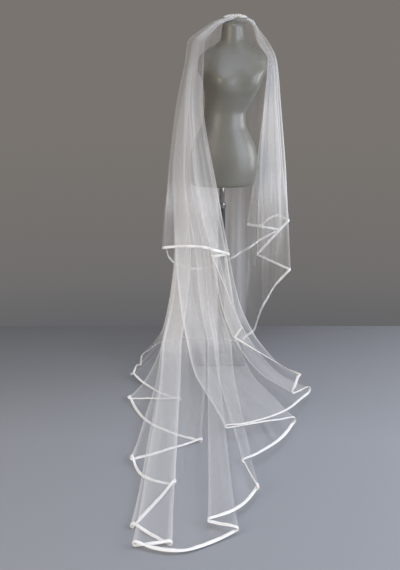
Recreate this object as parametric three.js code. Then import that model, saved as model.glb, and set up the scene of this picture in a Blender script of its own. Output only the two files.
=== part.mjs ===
import * as THREE from "three";

// Bridal veil on a dress form. Millimetres, X to the viewer's right, Y away from the viewer, Z up.
// The veil is one closed ring of folds: every row of a fold table is one fold line that runs from
// the gather band down to the ribbon at the hem.

// Cloth
const WALL = 1.4;
const TOP_WALL = 1;
const RIBBON_WALL = 1.8;
const RIBBON_WIDTH = 10;
const SEAM_GAP = 0.3;
const HEM_GAP = 0.9;
const FLOOR_CLEAR = 1.25;

// Gather line on the neck cap: the short tier leaves its upper side, the long tier its lower side
// and the line hooks round its left end, so that the front folds leave it to the front
const GATHER = { left: 13, right: 101, hook: 30, radius: 8, z: 1616, halfHeight: 5 };
const BAND = { x: 53, y: 0, z: 1626.3, halfLength: 51, halfDepth: 10.5, halfHeight: 5.8 };
const CROWN = { x: 42, y: 4, innerZ: 1582, inner: 88, outerZ: 1589, outer: 102, turn: 0.8 };

// Rows of the cloth, from the gather line (0) to the hem (21)
const ROW = { gather: 0, crown: 1, horn: 2, arm: 3, bust: 5, hip: 7, waist: 9, thigh: 10, knee: 11, hem: 21 };

// Heights of the cloth's stations
const STATION_Z = { horn: 1512, arm: 1437, bust: 1262, hip: 930, waist: 575, knee: 110 };

// The stack of folds at the left: where its lowest layer hangs (y, z), how far the layers lie
// apart and which way the next layer lies
const STACK = {
  horn: { y: 40, z: 1512, step: 7, dy: -1, dz: 0 },
  arm: { y: 40, z: 1437, step: 7, dy: -1, dz: 0 },
  bust: { y: 32, z: 1262, step: 7, dy: -1, dz: 0 },
  hip: { y: -20, z: 930, step: 7, dy: -1, dz: 0 },
  waist: { y: -60, z: 575, step: 6.5, dy: -1, dz: 0 },
  thigh: { y: -100, z: 300, step: 6, dy: -0.95, dz: 0.31 },
  knee: { y: -190, z: 110, step: 5, dy: -0.62, dz: 0.78 },
};
// The sweep down to the floor: the line the folds leave at knee height, how far in front of it they
// touch the floor, and how far past it the first rows of a long fold lie
const SWEEP = { left: -300, right: 165, y: -190, length: 280, rows: [0, 42, 86, 132, 184, 250], long: 500 };

// How folds lie on one another on the floor: rise of each layer, reach in which a layer keeps its
// height past an edge below it, slope of its fall beyond that, and the cells the heights are kept in
const PILE = { rise: 3.8, reach: 80, slope: 0.25, cell: 12, left: -480, right: 420, near: -1660, far: -120 };

// Share of the way from waist to knee that the thigh station has
const THIGH_SHARE = 0.42;

// Folds of the stack. crown is the angle at the neck; horn to knee are the fold's x at each
// station; bow is how far the hem of the face before the fold swings out, at its middle.
const STACK_COLUMNS = ["name", "crown", "horn", "arm", "bust", "hip", "waist", "knee", "hemX", "hemY", "bow"];
const STACK_FOLDS = [
  ["t3", 160, -138, -152, -188, -232, -225, -294, -425, -298, 0],
  ["t4", 163, -118, -130, -161, -194, -163, -218, -195, -532, 15],
  ["t5", 166, -138, -152, -188, -232, -220, -289, -420, -518, 0],
  ["t6", 169, -106, -126, -151, -166, -105, -81, -101, -901, 66],
  ["t7", 172, -138, -152, -183, -226, -219, -289, -361, -1042, 0],
  ["t8", 175, -114, -130, -155, -180, -153, -199, -197, -1212, 46],
  ["t9", 178, -138, -152, -183, -226, -214, -284, -321, -1464, 0],
  ["t10", 181, -115, -130, -155, -179, -152, -195, -198, -1555, 15],
  ["t11", 184, -136, -150, -178, -221, -209, -280, -306, -1567, 0],
  ["t12", 186.5, -124, -142, -168, -190, -162, -195, -172, -1600, 0],
  ["t12b", 189, -112, -133, -157, -158, -112, -105, -52, -1542, 0],
  ["t13", 191.5, -100, -124, -146, -128, -67, -20, 9, -1504, 0],
  ["t14", 194.5, -128, -145, -169, -179, -124, -67, -73, -1464, 0],
  ["t15", 197.5, -98, -120, -141, -123, -53, 41, 91, -1290, 26],
  ["t16", 200.5, -120, -138, -164, -151, -86, -39, 55, -1132, 0],
  ["t17", 203.5, -92, -116, -141, -114, -39, 74, 273, -801, 30],
  ["t18", 206.5, -132, -148, -177, -224, -217, -166, 2, -895, 0],
  ["t19", 209.5, -80, -112, -136, -105, -21, 131, 369, -549, 65],
  ["t20", 212.5, -110, -128, -150, -128, -49, 60, 297, -600, 0],
  ["t21", 215.5, -36, -70, -101, -41, 25, 164, 344, -429, 0],
];

// The last folds of the stack end in the air. Columns as above, then the hem's place: how far
// between thigh (0) and knee (1) it lies, or its own height where it ends above the waist.
const HANGING_COLUMNS = ["name", "crown", "horn", "arm", "bust", "hip", "waist", "hemX", "hemZ", "layer"];
const HANGING_FOLDS = [
  ["t22", 218.5, -112, -125, -141, -114, -35, 62, 176, 17.5],
  ["t24", 221.5, -70, -88, -105, -51, 15, 92, 240, 23.5],
  ["s1", 224.5, -110, -122, -136, -119, -60, -48, 572, 24.5],
  ["s0", 227.5, -88, -92, -96, -40, 22, 27, 585, 25.5],
];

// Short tier, front panel and left side: x and y at each station, then the hem
const SHORT_COLUMNS = [
  "name", "crown", "hornX", "hornY", "armX", "armY", "bustX", "bustY", "hipX", "hipY", "hemX", "hemY", "hemZ",
];
const SHORT_FRONT = [
  ["f3", 224, -108, -153, -121, -153, -147, -161, -104, -210, -50, -244, 608],
  ["f2", 221, -124, -153, -136, -153, -152, -161, -150, -207, -84, -241, 618],
  ["f1", 218, -140, -150, -150, -152, -176, -157, -177, -198, -159, -228, 620],
  ["s2", 214, -154, -140, -163, -142, -196, -144, -239, -174, -274, -192, 604],
];
const SHORT_BACK = [
  ["s2c", 192, -160, -45, -170, -40, -208, -25, -252, -30, -272, -20, 560],
  ["s2d", 176, -155, 15, -168, 22, -202, 45, -248, 70, -264, 110, 480],
  ["b2", 159, -130, 72, -145, 88, -172, 112, -215, 155, -235, 222, 417],
  ["b3", 139, -78, 108, -92, 132, -120, 152, -150, 198, -169, 282, 373],
  ["b4", 117, -20, 120, -28, 145, -50, 168, -65, 218, -78, 302, 367],
  ["b5", 95, 35, 123, 32, 148, 25, 172, 20, 224, 22, 305, 401],
  ["b6", 72, 90, 116, 95, 142, 95, 168, 100, 214, 107, 302, 450],
  ["b7", 47, 140, 100, 160, 122, 168, 152, 190, 202, 210, 290, 523],
];

// Right side: the two tiers meet in folds stacked from the back (r) to the front (t1)
const CASCADE = [
  ["r", 27, 192, 78, 232, 96, 252, 122, 290, 172, 308, 270, 584],
  ["s6", 24, 160, 64, 212, 84, 205, 102, 172, 142, 138, 214, 623],
  ["p3a", 21.5, 176, 58, 222, 76, 220, 94, 214, 130, 211, 202, 624],
  ["p3m", 19.5, 184, 53, 228, 70, 232, 88, 235, 120, 237, 180, 655],
  ["p3b", 17.5, 192, 49, 234, 64, 243, 82, 262, 112, 278, 168, 679],
  ["q", 15, 203, 42, 242, 56, 258, 74, 293, 96, 336, 122, 662],
  ["s8", 10, 164, 38, 213, 50, 200, 66, 186, 90, 188, 150, 481],
  ["t1", 3, 206, 20, 240, 28, 265, 45, 302, 50, 342, 50, 429],
];

// Long tier behind the form, from the right fold to the left side; waist and knee stations too
const LONG_COLUMNS = [
  "name", "crown", "hornX", "hornY", "armX", "armY", "bustX", "bustY", "hipX", "hipY",
  "waistX", "waistY", "kneeX", "kneeY", "hemX", "hemY", "hemZ",
];
const NONE = null;
const LONG_BACK = [
  ["t1a", 6, 180, 20, 227, 28, 232, 40, 246, 50, 268, 66, NONE, NONE, 274, 82, 336],
  ["t1b", 14, 154, 24, 216, 34, 194, 46, 180, 66, 200, 98, NONE, NONE, 214, 112, 202],
  ["t1c", 35, 136, 60, 172, 90, 156, 106, 150, 128, 162, 138, NONE, NONE, 178, 145, 70],
  ["t2", 60, 105, 88, 115, 124, 108, 138, 105, 154, 105, 162, 106, 166, 107, 172, 0],
  ["k0", 87, 50, 96, 45, 128, 38, 144, 20, 168, 5, 192, 2, 215, 0, 228, 0],
  ["k1", 108, 0, 92, -30, 120, -45, 140, -75, 160, -85, 182, -96, 208, -100, 222, 0],
  ["k2", 132, -50, 80, -88, 106, -108, 124, -145, 138, -165, 158, -192, 212, -202, 240, 0],
  ["l1", 147, -94, 62, -126, 76, -150, 90, -190, 92, -208, 100, -288, 130, -319, 161, 0],
  ["l2", 152, -118, 52, -142, 58, -170, 62, -216, 50, -216, 40, -300, 30, -404, -17, 0],
  ["l3", 156, -130, 47, -150, 48, -182, 46, -228, 12, -222, -8, -300, -75, -403, -157, 0],
];

// Faces on the floor get a column about every so far along their hem
const FACE_WIDTH = 110;

// Parts that hang free from the hip, and the rows left out of them
const HANGING_PARTS = ["short_tier_front", "short_tier_back", "right_cascade"];
const STRAIGHT_ROWS = [8, 10, 12, 13, 15, 16, 18, 19];

// Depth of the soft pleats between the fold lines, at the hem
const PLEAT = { front: 7, back: 16, inner: 12 };
const TURN = 9;

// Share of the gather band each part of the ring takes, from the left end round by the back
const SHARE = { front: 0.065, back: 0.34, cascade: 0.1, inner: 0.275, stack: 0.22 };

// Dress form: a row per level with its half width, half depth and middle
const FORM_LEVELS = [
  { z: 1610, a: 15, b: 7.6, x: 33, y: 0 },
  { z: 1602, a: 29, b: 19, x: 38, y: 1 },
  { z: 1596, a: 37, b: 34, x: 41, y: 2 },
  { z: 1590.5, a: 44, b: 46, x: 42, y: 2 },
  { z: 1582, a: 48, b: 50, x: 42, y: 2 },
  { z: 1560, a: 50, b: 52, x: 42, y: 3 },
  { z: 1525, a: 55, b: 56, x: 42, y: 5 },
  { z: 1500, a: 82, b: 61, x: 42, y: 7 },
  { z: 1480, a: 118, b: 67, x: 42, y: 9 },
  { z: 1455, a: 148, b: 75, x: 42, y: 10 },
  { z: 1430, a: 156, b: 83, x: 42, y: 10 },
  { z: 1395, a: 156, b: 93, x: 41, y: 9 },
  { z: 1355, a: 138, b: 99, x: 40, y: 8 },
  { z: 1310, a: 126, b: 98, x: 38, y: 8 },
  { z: 1260, a: 110, b: 90, x: 27, y: 10 },
  { z: 1200, a: 97, b: 80, x: 10, y: 10 },
  { z: 1150, a: 103, b: 84, x: 7, y: 10 },
  { z: 1100, a: 125, b: 94, x: 6, y: 10 },
  { z: 1050, a: 147, b: 103, x: 6, y: 10 },
  { z: 1000, a: 158, b: 110, x: 6, y: 10 },
  { z: 950, a: 160, b: 111, x: 5, y: 10 },
  { z: 900, a: 156, b: 109, x: 2, y: 10 },
  { z: 878, a: 152, b: 106, x: 0, y: 10 },
  { z: 870, a: 146, b: 100, x: 0, y: 10 },
];
const FORM_COLUMNS = 32;
const BUST = { z: 1342, angle: 36, spread: 17, high: 42, depth: 26 };
const FORM_YAW = 14;

// Stand
const BASE = { width: 240, depth: 290, thickness: 8, corner: 12 };
const LOWER_TUBE = { radius: 16, top: 755 };
const COLLAR = { radius: 20, height: 26 };
const UPPER_TUBE = { radius: 12.5, y: 10 };
const TUBE_SIDES = 24;

const MATERIALS = {
  tulle: new THREE.MeshStandardMaterial({ name: "tulle", color: 0xdad8d4, roughness: 0.8 }),
  ribbon: new THREE.MeshStandardMaterial({ name: "ribbon", color: 0xefebe4, roughness: 0.35 }),
  plastic: new THREE.MeshStandardMaterial({ name: "plastic", color: 0x8d958f, roughness: 0.3 }),
  chrome: new THREE.MeshStandardMaterial({ name: "chrome", color: 0xc4c7ca, metalness: 1, roughness: 0.2 }),
  steel: new THREE.MeshStandardMaterial({ name: "steel", color: 0x4a4d50, metalness: 0.9, roughness: 0.4 }),
};

const group = new THREE.Group();

const lerp = (a, b, t) => a + (b - a) * t;
const clamp = (v, low, high) => Math.min(high, Math.max(low, v));
const radians = (degrees) => (degrees * Math.PI) / 180;

// A table row as an object with the names of its columns.
function named(row, columns) {
  return Object.fromEntries(columns.map((column, i) => [column, row[i]]));
}

function addMesh(name, geometry, material) {
  geometry.computeVertexNormals();
  const mesh = new THREE.Mesh(geometry, material);
  mesh.name = name;
  group.add(mesh);
}

// A geometry from points and triangles, turned so that it encloses a positive volume.
function solid(points, triangles) {
  const volume = triangles.reduce((sum, [a, b, c]) => {
    const cross = points[b].clone().cross(points[c]);
    return sum + points[a].dot(cross);
  }, 0);
  const faces = volume < 0 ? triangles.map(([a, b, c]) => [a, c, b]) : triangles;
  const geometry = new THREE.BufferGeometry();
  geometry.setAttribute("position", new THREE.Float32BufferAttribute(points.flatMap((p) => p.toArray()), 3));
  geometry.setIndex(faces.flat());
  return geometry;
}

// Smooth curve through points that never swings past them: steps of row, value.
function smoothThrough(rows, values, row) {
  const n = rows.length;
  const slopes = [];
  for (let i = 0; i < n - 1; i++) slopes.push((values[i + 1] - values[i]) / (rows[i + 1] - rows[i]));
  const tangent = (i) => {
    if (i === 0) return slopes[0];
    if (i === n - 1) return slopes[n - 2];
    const before = slopes[i - 1];
    const after = slopes[i];
    if (before * after <= 0) return 0;
    const w1 = 2 * (rows[i + 1] - rows[i]) + (rows[i] - rows[i - 1]);
    const w2 = rows[i + 1] - rows[i] + 2 * (rows[i] - rows[i - 1]);
    return (w1 + w2) / (w1 / before + w2 / after);
  };
  let k = 0;
  while (k < n - 2 && row > rows[k + 1]) k++;
  const span = rows[k + 1] - rows[k];
  const t = (row - rows[k]) / span;
  const h00 = (1 + 2 * t) * (1 - t) * (1 - t);
  const h10 = t * (1 - t) * (1 - t);
  const h01 = t * t * (3 - 2 * t);
  const h11 = t * t * (t - 1);
  return h00 * values[k] + h10 * span * tangent(k) + h01 * values[k + 1] + h11 * span * tangent(k + 1);
}

// All rows of one column from its stations, each { row, x, y, z }.
function columnThrough(stations) {
  const rows = stations.map((s) => s.row);
  const points = [];
  for (let row = 0; row <= ROW.hem; row++) {
    const at = (axis) => smoothThrough(rows, stations.map((s) => s[axis]), row);
    points.push(new THREE.Vector3(at("x"), at("y"), at("z")));
  }
  return points;
}

// The place on the gather line at a distance from its hooked end.
function gatherPlace(s) {
  const { left, hook, radius } = GATHER;
  const arc = Math.PI * radius;
  if (s < hook) return { x: left + hook - s, y: -radius };
  if (s < hook + arc) {
    const angle = -Math.PI / 2 - (s - hook) / radius;
    return { x: left + radius * Math.cos(angle), y: radius * Math.sin(angle) };
  }
  return { x: left + s - hook - arc, y: radius };
}

// The place on the outline of the gathers, u from 0 at the hooked end along the upper side, then
// back along the lower side.
function gatherPoint(u) {
  const { left, right, hook, radius, halfHeight, z } = GATHER;
  const length = hook + Math.PI * radius + right - left;
  const arc = Math.PI * halfHeight;
  let s = (((u % 1) + 1) % 1) * (2 * length + 2 * arc);
  const end = (place, angle, side) => ({
    x: place.x + side * halfHeight * Math.cos(angle),
    y: place.y,
    z: z + halfHeight * Math.sin(angle),
  });
  const start = gatherPlace(0);
  const finish = gatherPlace(length);
  if (s < arc / 2) return end(start, s / halfHeight, 1);
  s -= arc / 2;
  if (s < length) return { ...gatherPlace(s), z: z + halfHeight };
  s -= length;
  if (s < arc) return end(finish, Math.PI / 2 - s / halfHeight, 1);
  s -= arc;
  if (s < length) return { ...gatherPlace(length - s), z: z - halfHeight };
  s -= length;
  return end(start, -Math.PI / 2 + s / halfHeight, 1);
}

function topStations(u, crownAngle, crownRadius) {
  const start = gatherPoint(u);
  const angle = radians(crownAngle);
  const outward = (crownRadius - CROWN.inner) / (CROWN.outer - CROWN.inner);
  return [
    { row: ROW.gather, x: start.x, y: start.y, z: start.z },
    {
      row: ROW.crown,
      x: CROWN.x + crownRadius * Math.cos(angle),
      y: CROWN.y + crownRadius * Math.sin(angle),
      z: lerp(CROWN.innerZ, CROWN.outerZ, outward),
    },
  ];
}

// A station of the stack at x on a layer.
function onLayer(station, x, layer) {
  const s = STACK[station];
  return { x, y: s.y + s.dy * s.step * (layer + 1), z: s.z + s.dz * s.step * (layer + 1) };
}

// The heights of what lies on the floor, kept in square cells.
const pile = {
  across: Math.ceil((PILE.right - PILE.left) / PILE.cell),
  along: Math.ceil((PILE.far - PILE.near) / PILE.cell),
  tops: new Map(),
};

// The height at which the next layer rests at a place.
function restHeight(x, y) {
  const [ci, cj] = [Math.floor((x - PILE.left) / PILE.cell), Math.floor((y - PILE.near) / PILE.cell)];
  const n = Math.ceil(PILE.reach / PILE.cell) + 14;
  let best = FLOOR_CLEAR;
  for (let i = ci - n; i <= ci + n; i++) {
    for (let j = cj - n; j <= cj + n; j++) {
      const top = pile.tops.get(j * pile.across + i);
      if (top === undefined || i < 0 || i >= pile.across) continue;
      const away = PILE.cell * Math.hypot(i - ci, j - cj) - PILE.reach;
      best = Math.max(best, top + PILE.rise - PILE.slope * Math.max(0, away));
    }
  }
  return best;
}

// Lays the face between two columns on the pile.
function layOnPile(a, b) {
  const steps = 24;
  for (let row = ROW.knee; row < ROW.hem; row++) {
    for (let i = 0; i <= steps; i++) {
      for (let j = 0; j <= 12; j++) {
        const [t, s] = [i / steps, j / 12];
        const side = (c, key) => lerp(key(c, row), key(c, row + 1), s);
        const at = (key) => lerp(side(a, key), side(b, key), t);
        const x = at((c, r) => c[r].x);
        const y = at((c, r) => c[r].y);
        const top = at((c, r) => c.rest[r]);
        const ci = Math.floor((x - PILE.left) / PILE.cell);
        const index = Math.floor((y - PILE.near) / PILE.cell) * pile.across + ci;
        pile.tops.set(index, Math.max(top, pile.tops.get(index) ?? 0));
      }
    }
  }
}

// One column of a fold in the stack: it hangs on its layer to the knee, then runs out on the floor.
function stackColumn(u, crown, fold, layer) {
  const stations = topStations(u, crown, CROWN.inner);
  for (const station of ["horn", "arm", "bust", "hip", "waist"]) {
    stations.push({ row: ROW[station], ...onLayer(station, fold[station], layer) });
  }
  const thighX = lerp(fold.waist, fold.knee, THIGH_SHARE);
  stations.push({ row: ROW.thigh, ...onLayer("thigh", thighX, layer) });
  const knee = onLayer("knee", fold.knee, layer);
  stations.push({ row: ROW.knee, ...knee });
  const points = columnThrough([...stations, { row: ROW.hem, x: fold.hemX, y: fold.hemY, z: 0 }]);
  const length = Math.hypot(fold.hemX - knee.x, fold.hemY - knee.y);
  points.rest = points.map((p) => restHeight(p.x, p.y));
  points.lift = (knee.z - points.rest[ROW.knee]) / sweep(knee.x, knee.y);
  for (let row = ROW.knee + 1; row <= ROW.hem; row++) {
    const f = shareOfFold(row, length);
    points[row].x = lerp(knee.x, fold.hemX, f);
    points[row].y = lerp(knee.y, fold.hemY, f);
    settle(points, row);
  }
  return points;
}

// How much of its length on the floor a fold has run at a row.
function shareOfFold(row, length) {
  const step = row - ROW.knee;
  const rows = ROW.hem - ROW.knee;
  if (length < SWEEP.long) return step / rows;
  const swept = SWEEP.rows.length - 1;
  if (step <= swept) return SWEEP.rows[step] / length;
  return lerp(SWEEP.rows[swept] / length, 1, (step - swept) / (rows - swept));
}

// Lets a row of a column down on what lies there.
function settle(points, row) {
  const p = points[row];
  points.rest[row] = restHeight(p.x, p.y);
  p.z = points.rest[row] + points.lift * sweep(p.x, p.y);
}

// Share of the knee height that is left at a place: 1 on the knee line, 0 where all has touched down.
function sweep(x, y) {
  const aside = Math.max(0, SWEEP.left - x, x - SWEEP.right);
  const share = 1 - Math.hypot(aside, Math.max(0, SWEEP.y - y)) / SWEEP.length;
  return Math.max(0, share) ** 2;
}

// The column at a share of a face that lies on the floor, the face's hem swung out by bow.
function faceColumn(a, b, share, bow) {
  const [p, q] = [a[ROW.hem], b[ROW.hem]];
  const out = new THREE.Vector3(p.y - q.y, q.x - p.x, 0).normalize();
  if (out.y > 0) out.negate();
  const points = a.map((point, row) => point.clone().lerp(b[row], share));
  points.rest = points.map((point) => restHeight(point.x, point.y));
  const knee = points[ROW.knee];
  points.lift = (knee.z - points.rest[ROW.knee]) / sweep(knee.x, knee.y);
  const swing = bow * Math.sin(Math.PI * share);
  for (let row = ROW.knee + 1; row <= ROW.hem; row++) {
    points[row].addScaledVector(out, swing * ((row - ROW.knee) / (ROW.hem - ROW.knee)) ** 3);
    settle(points, row);
  }
  return points;
}

// One column of a fold of the stack that ends in the air.
function hangingColumn(u, crown, fold, layer) {
  const stations = topStations(u, crown, CROWN.inner);
  for (const station of ["horn", "arm", "bust", "hip"]) {
    stations.push({ row: ROW[station], ...onLayer(station, fold[station], layer) });
  }
  if (fold.hemZ < STATION_Z.waist - 20) {
    stations.push({ row: ROW.waist, ...onLayer("waist", fold.waist, layer) });
    const thigh = onLayer("thigh", lerp(fold.waist, fold.hemX, 0.5), layer);
    stations.push({ row: 12, ...thigh });
    const knee = onLayer("knee", fold.hemX, layer);
    const share = clamp((thigh.z - fold.hemZ) / (thigh.z - knee.z), 0, 1);
    const z = lerp(thigh.z, knee.z, share);
    stations.push({ row: ROW.hem, x: fold.hemX, y: lerp(thigh.y, knee.y, share), z });
  } else {
    const waist = onLayer("waist", fold.hemX, layer);
    stations.push({ row: ROW.hem, x: fold.hemX, y: waist.y, z: fold.hemZ });
  }
  return columnThrough(stations);
}

// One column of a hanging fold from its table row.
function tierColumn(u, fold, radius, shift) {
  const turn = shift || { x: 0, y: 0 };
  const stations = topStations(u, fold.crown, radius);
  for (const station of ["horn", "arm", "bust", "hip", "waist", "knee"]) {
    const x = fold[station + "X"];
    if (x === undefined || x === NONE) continue;
    const grow = station === "horn" ? 0.5 : 1;
    const y = fold[station + "Y"] + turn.y * grow;
    stations.push({ row: ROW[station], x: x + turn.x * grow, y, z: STATION_Z[station] });
  }
  const z = Math.max(fold.hemZ, FLOOR_CLEAR);
  stations.push({ row: ROW.hem, x: fold.hemX + turn.x, y: fold.hemY + turn.y, z });
  return columnThrough(stations);
}

// The middle of two columns, moved along Y by depth at the hem and less above it.
function pleatColumn(a, b, depth) {
  return a.map((p, row) => {
    const grow = clamp((row - ROW.crown) / 8, 0, 1);
    const middle = p.clone().lerp(b[row], 0.5);
    middle.y += depth * grow;
    return middle;
  });
}

// The ring of columns. Each entry: the part of the veil it belongs to, its points.
const ring = [];
const seams = [];

function shareOut(part, start, folds, make) {
  folds.forEach((fold, i) => {
    const u = start + (SHARE[part] * (i + 0.5)) / folds.length;
    make(fold, u, SHARE[part] / folds.length / 4);
  });
}

const push = (points) => ring.push(points);
const endNode = (name) => seams.push({ name, column: ring.length - 1 });
const last = () => ring[ring.length - 1];

function buildRing() {
  const tableOf = (rows, columns) => rows.map((row) => named(row, columns));
  const front = tableOf(SHORT_FRONT, SHORT_COLUMNS);
  const back = tableOf(SHORT_BACK, SHORT_COLUMNS);
  const cascade = tableOf(CASCADE, SHORT_COLUMNS);
  const inner = tableOf(LONG_BACK, LONG_COLUMNS);
  const stack = tableOf(STACK_FOLDS, STACK_COLUMNS);
  const hanging = tableOf(HANGING_FOLDS, HANGING_COLUMNS);

  // The last fold of the stack is the first of the ring: its outer column opens the front panel.
  const first = hanging[hanging.length - 1];
  push(hangingColumn(0, first.crown + CROWN.turn, first, first.layer + 0.5));

  shareOut("front", 0.005, front, (fold, u) => {
    const next = tierColumn(u, fold, CROWN.outer);
    push(pleatColumn(last(), next, PLEAT.front));
    push(next);
  });
  let start = SHARE.front;
  shareOut("back", start, back, (fold, u) => {
    const next = tierColumn(u, fold, CROWN.outer);
    push(pleatColumn(last(), next, fold.name.startsWith("s2") ? 0 : -PLEAT.back));
    if (fold.name === "s2c") endNode("short_tier_front");
    push(next);
  });
  start += SHARE.back;
  shareOut("cascade", start, cascade, (fold, u, half) => {
    const soft = fold.name.startsWith("p3");
    const radius = fold.name === "t1" ? (CROWN.outer + CROWN.inner) / 2 : CROWN.outer;
    if (fold.name === "r") {
      push(pleatColumn(last(), tierColumn(u, fold, radius), 0));
      endNode("short_tier_back");
    }
    if (soft) {
      push(tierColumn(u, fold, radius));
      return;
    }
    const before = { ...fold, crown: fold.crown + 0.8 };
    const after = { ...fold, crown: fold.crown - 0.8 };
    push(tierColumn(u - half, before, radius, { x: 0, y: TURN / 2 }));
    push(tierColumn(u + half, after, radius, { x: 0, y: -TURN / 2 }));
  });
  start += SHARE.cascade;
  shareOut("inner", start, inner, (fold, u) => {
    const next = tierColumn(u, fold, CROWN.inner);
    const pleated = fold.name.startsWith("k") || fold.name === "l1";
    push(pleatColumn(last(), next, pleated ? -PLEAT.inner * 0.6 : 0));
    if (fold.name === "t1a") endNode("right_cascade");
    push(next);
  });
  start += SHARE.inner;
  const turns = [...stack, ...hanging];
  last().rest = last().map(() => FLOOR_CLEAR);
  shareOut("stack", start, turns, (fold, u, half) => {
    const layer = fold.layer ?? layerOf(fold.name);
    const onFloor = fold.layer === undefined;
    const side = onFloor ? stackColumn : hangingColumn;
    const single = fold.name.startsWith("t12");
    const before = last();
    const lower = side(u - half, fold.crown - (single ? 0 : CROWN.turn), fold, single ? layer : layer - 0.5);
    const seam = SEAM_BEFORE[fold.name];
    const width = before[ROW.hem].distanceTo(lower[ROW.hem]);
    const middles = Math.max(seam ? 1 : 0, onFloor ? Math.round(width / FACE_WIDTH) - 1 : 0);
    const face = [before];
    for (let i = 1; i <= middles; i++) {
      const share = i / (middles + 1);
      face.push(onFloor ? faceColumn(before, lower, share, fold.bow) : pleatColumn(before, lower, 0));
    }
    face.push(lower);
    face.slice(1).forEach((column, i) => {
      push(column);
      if (seam && i + 1 === Math.ceil(middles / 2)) endNode(seam);
      if (onFloor) layOnPile(face[i], column);
    });
    if (single || fold.name === hanging[hanging.length - 1].name) return;
    push(side(u + half, fold.crown + CROWN.turn, fold, layer + 0.5));
  });
}

// Which part of the veil ends in the middle of the face before a fold
const SEAM_BEFORE = {
  t3: "long_tier_back",
  t7: "train_left_side",
  t11: "train_left",
  t14: "train_middle",
  t18: "train_right",
  t22: "train_right_side",
  s0: "left_cascade",
};

// Layer of a fold in the stack: folds with a number after t12 lie one layer further each.
function layerOf(name) {
  if (name.startsWith("t12")) return 8;
  const n = Number(name.slice(1));
  return n <= 11 ? n - 3.5 : n - 4.5;
}

// Unit normals of the ring at every column and row, made longer where the faces meet at an angle.
function ringNormals(columns) {
  const n = columns.length;
  const rows = columns[0].length;
  const face = (k, r) => {
    const a = columns[k][r];
    const b = columns[(k + 1) % n][r];
    const c = columns[(k + 1) % n][r + 1];
    const d = columns[k][r + 1];
    return c.clone().sub(a).cross(d.clone().sub(b)).normalize();
  };
  const faces = columns.map((_, k) => Array.from({ length: rows - 1 }, (_, r) => face(k, r)));
  return columns.map((_, k) =>
    Array.from({ length: rows }, (_, r) => {
      const around = [];
      for (const kk of [(k + n - 1) % n, k]) {
        for (const rr of [r - 1, r]) {
          if (rr >= 0 && rr < rows - 1) around.push(faces[kk][rr]);
        }
      }
      const sum = around.reduce((v, f) => v.add(f), new THREE.Vector3()).normalize();
      const least = Math.min(...around.map((f) => Math.abs(sum.dot(f))));
      return sum.multiplyScalar(1 / clamp(least, r <= ROW.crown ? 1 : 0.75, 1));
    }),
  );
}

// A closed wall round a grid of points, half its thickness to each side along the normals.
function wallSolid(columns, normals, thickness, topThickness = thickness) {
  const rows = columns[0].length;
  const count = columns.length * rows;
  const side = (sign) =>
    columns.flatMap((column, k) =>
      column.map((p, r) => {
        const full = r <= ROW.crown ? topThickness : thickness;
        return p.clone().addScaledVector(normals[k][r], (sign * full) / 2);
      }),
    );
  const points = [...side(1), ...side(-1)];
  const at = (k, r) => k * rows + r;
  const triangles = [];
  const quad = (a, b, c, d) => triangles.push([a, b, c], [a, c, d]);
  for (let k = 0; k < columns.length - 1; k++) {
    for (let r = 0; r < rows - 1; r++) {
      const [a, b, c, d] = [at(k, r), at(k + 1, r), at(k + 1, r + 1), at(k, r + 1)];
      quad(a, b, c, d);
      quad(count + a, count + d, count + c, count + b);
    }
    quad(at(k, 0), count + at(k, 0), count + at(k + 1, 0), at(k + 1, 0));
    quad(at(k, rows - 1), at(k + 1, rows - 1), count + at(k + 1, rows - 1), count + at(k, rows - 1));
  }
  const lastK = columns.length - 1;
  for (let r = 0; r < rows - 1; r++) {
    quad(at(0, r), at(0, r + 1), count + at(0, r + 1), count + at(0, r));
    quad(at(lastK, r), count + at(lastK, r), count + at(lastK, r + 1), at(lastK, r + 1));
  }
  return solid(points, triangles);
}

// The rows of a column that a part needs where it hangs straight from the hip to the hem.
const keptRows = (column) => column.filter((_, row) => column.length < ROW.hem || !STRAIGHT_ROWS.includes(row));

function addVeil() {
  buildRing();
  const normals = ringNormals(ring);
  const n = ring.length;
  // The place on a column where the ribbon ends, a gap further up, measured square to the hem line.
  const cut = (k, gap) => {
    const hem = ring[k][ROW.hem];
    const along = ring[k][ROW.hem - 1].clone().sub(hem);
    const length = along.length();
    along.normalize();
    const sides = [ring[(k + 1) % n][ROW.hem], ring[(k + n - 1) % n][ROW.hem]];
    const slants = sides.map((p) => along.clone().cross(p.clone().sub(hem).normalize()).length());
    const far = sides[0].distanceTo(hem) > sides[1].distanceTo(hem) ? slants[0] : slants[1];
    const slant = Math.max(far, 0.4);
    return hem.clone().addScaledVector(along, Math.min(RIBBON_WIDTH / slant, 0.85 * length) + gap / slant);
  };
  const cloth = ring.map((column, k) => [...column.slice(0, ROW.hem), cut(k, HEM_GAP)]);
  const ribbon = ring.map((column, k) => [cut(k, 0), column[ROW.hem]]);
  const ends = (normals, k) => [normals[k][ROW.hem], normals[k][ROW.hem]];
  seams.forEach((seam, i) => {
    const from = seams[(i + seams.length - 1) % seams.length].column;
    const length = (seam.column - from + n) % n;
    const indices = Array.from({ length: length + 1 }, (_, k) => (from + k) % n);
    const kept = (column) => (HANGING_PARTS.includes(seam.name) ? keptRows(column) : column);
    const piece = (grid) => {
      const columns = indices.map((k) => kept(grid[k]).map((p) => p.clone()));
      shiftEnd(columns[0], columns[1]);
      shiftEnd(columns[columns.length - 1], columns[columns.length - 2]);
      return columns;
    };
    const clothNormals = indices.map((k) => kept(normals[k]));
    const ribbonNormals = indices.map((k) => ends(normals, k));
    addMesh(seam.name, wallSolid(piece(cloth), clothNormals, WALL, TOP_WALL), MATERIALS.tulle);
    addMesh(seam.name + "_ribbon", wallSolid(piece(ribbon), ribbonNormals, RIBBON_WALL), MATERIALS.ribbon);
  });
}

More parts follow.
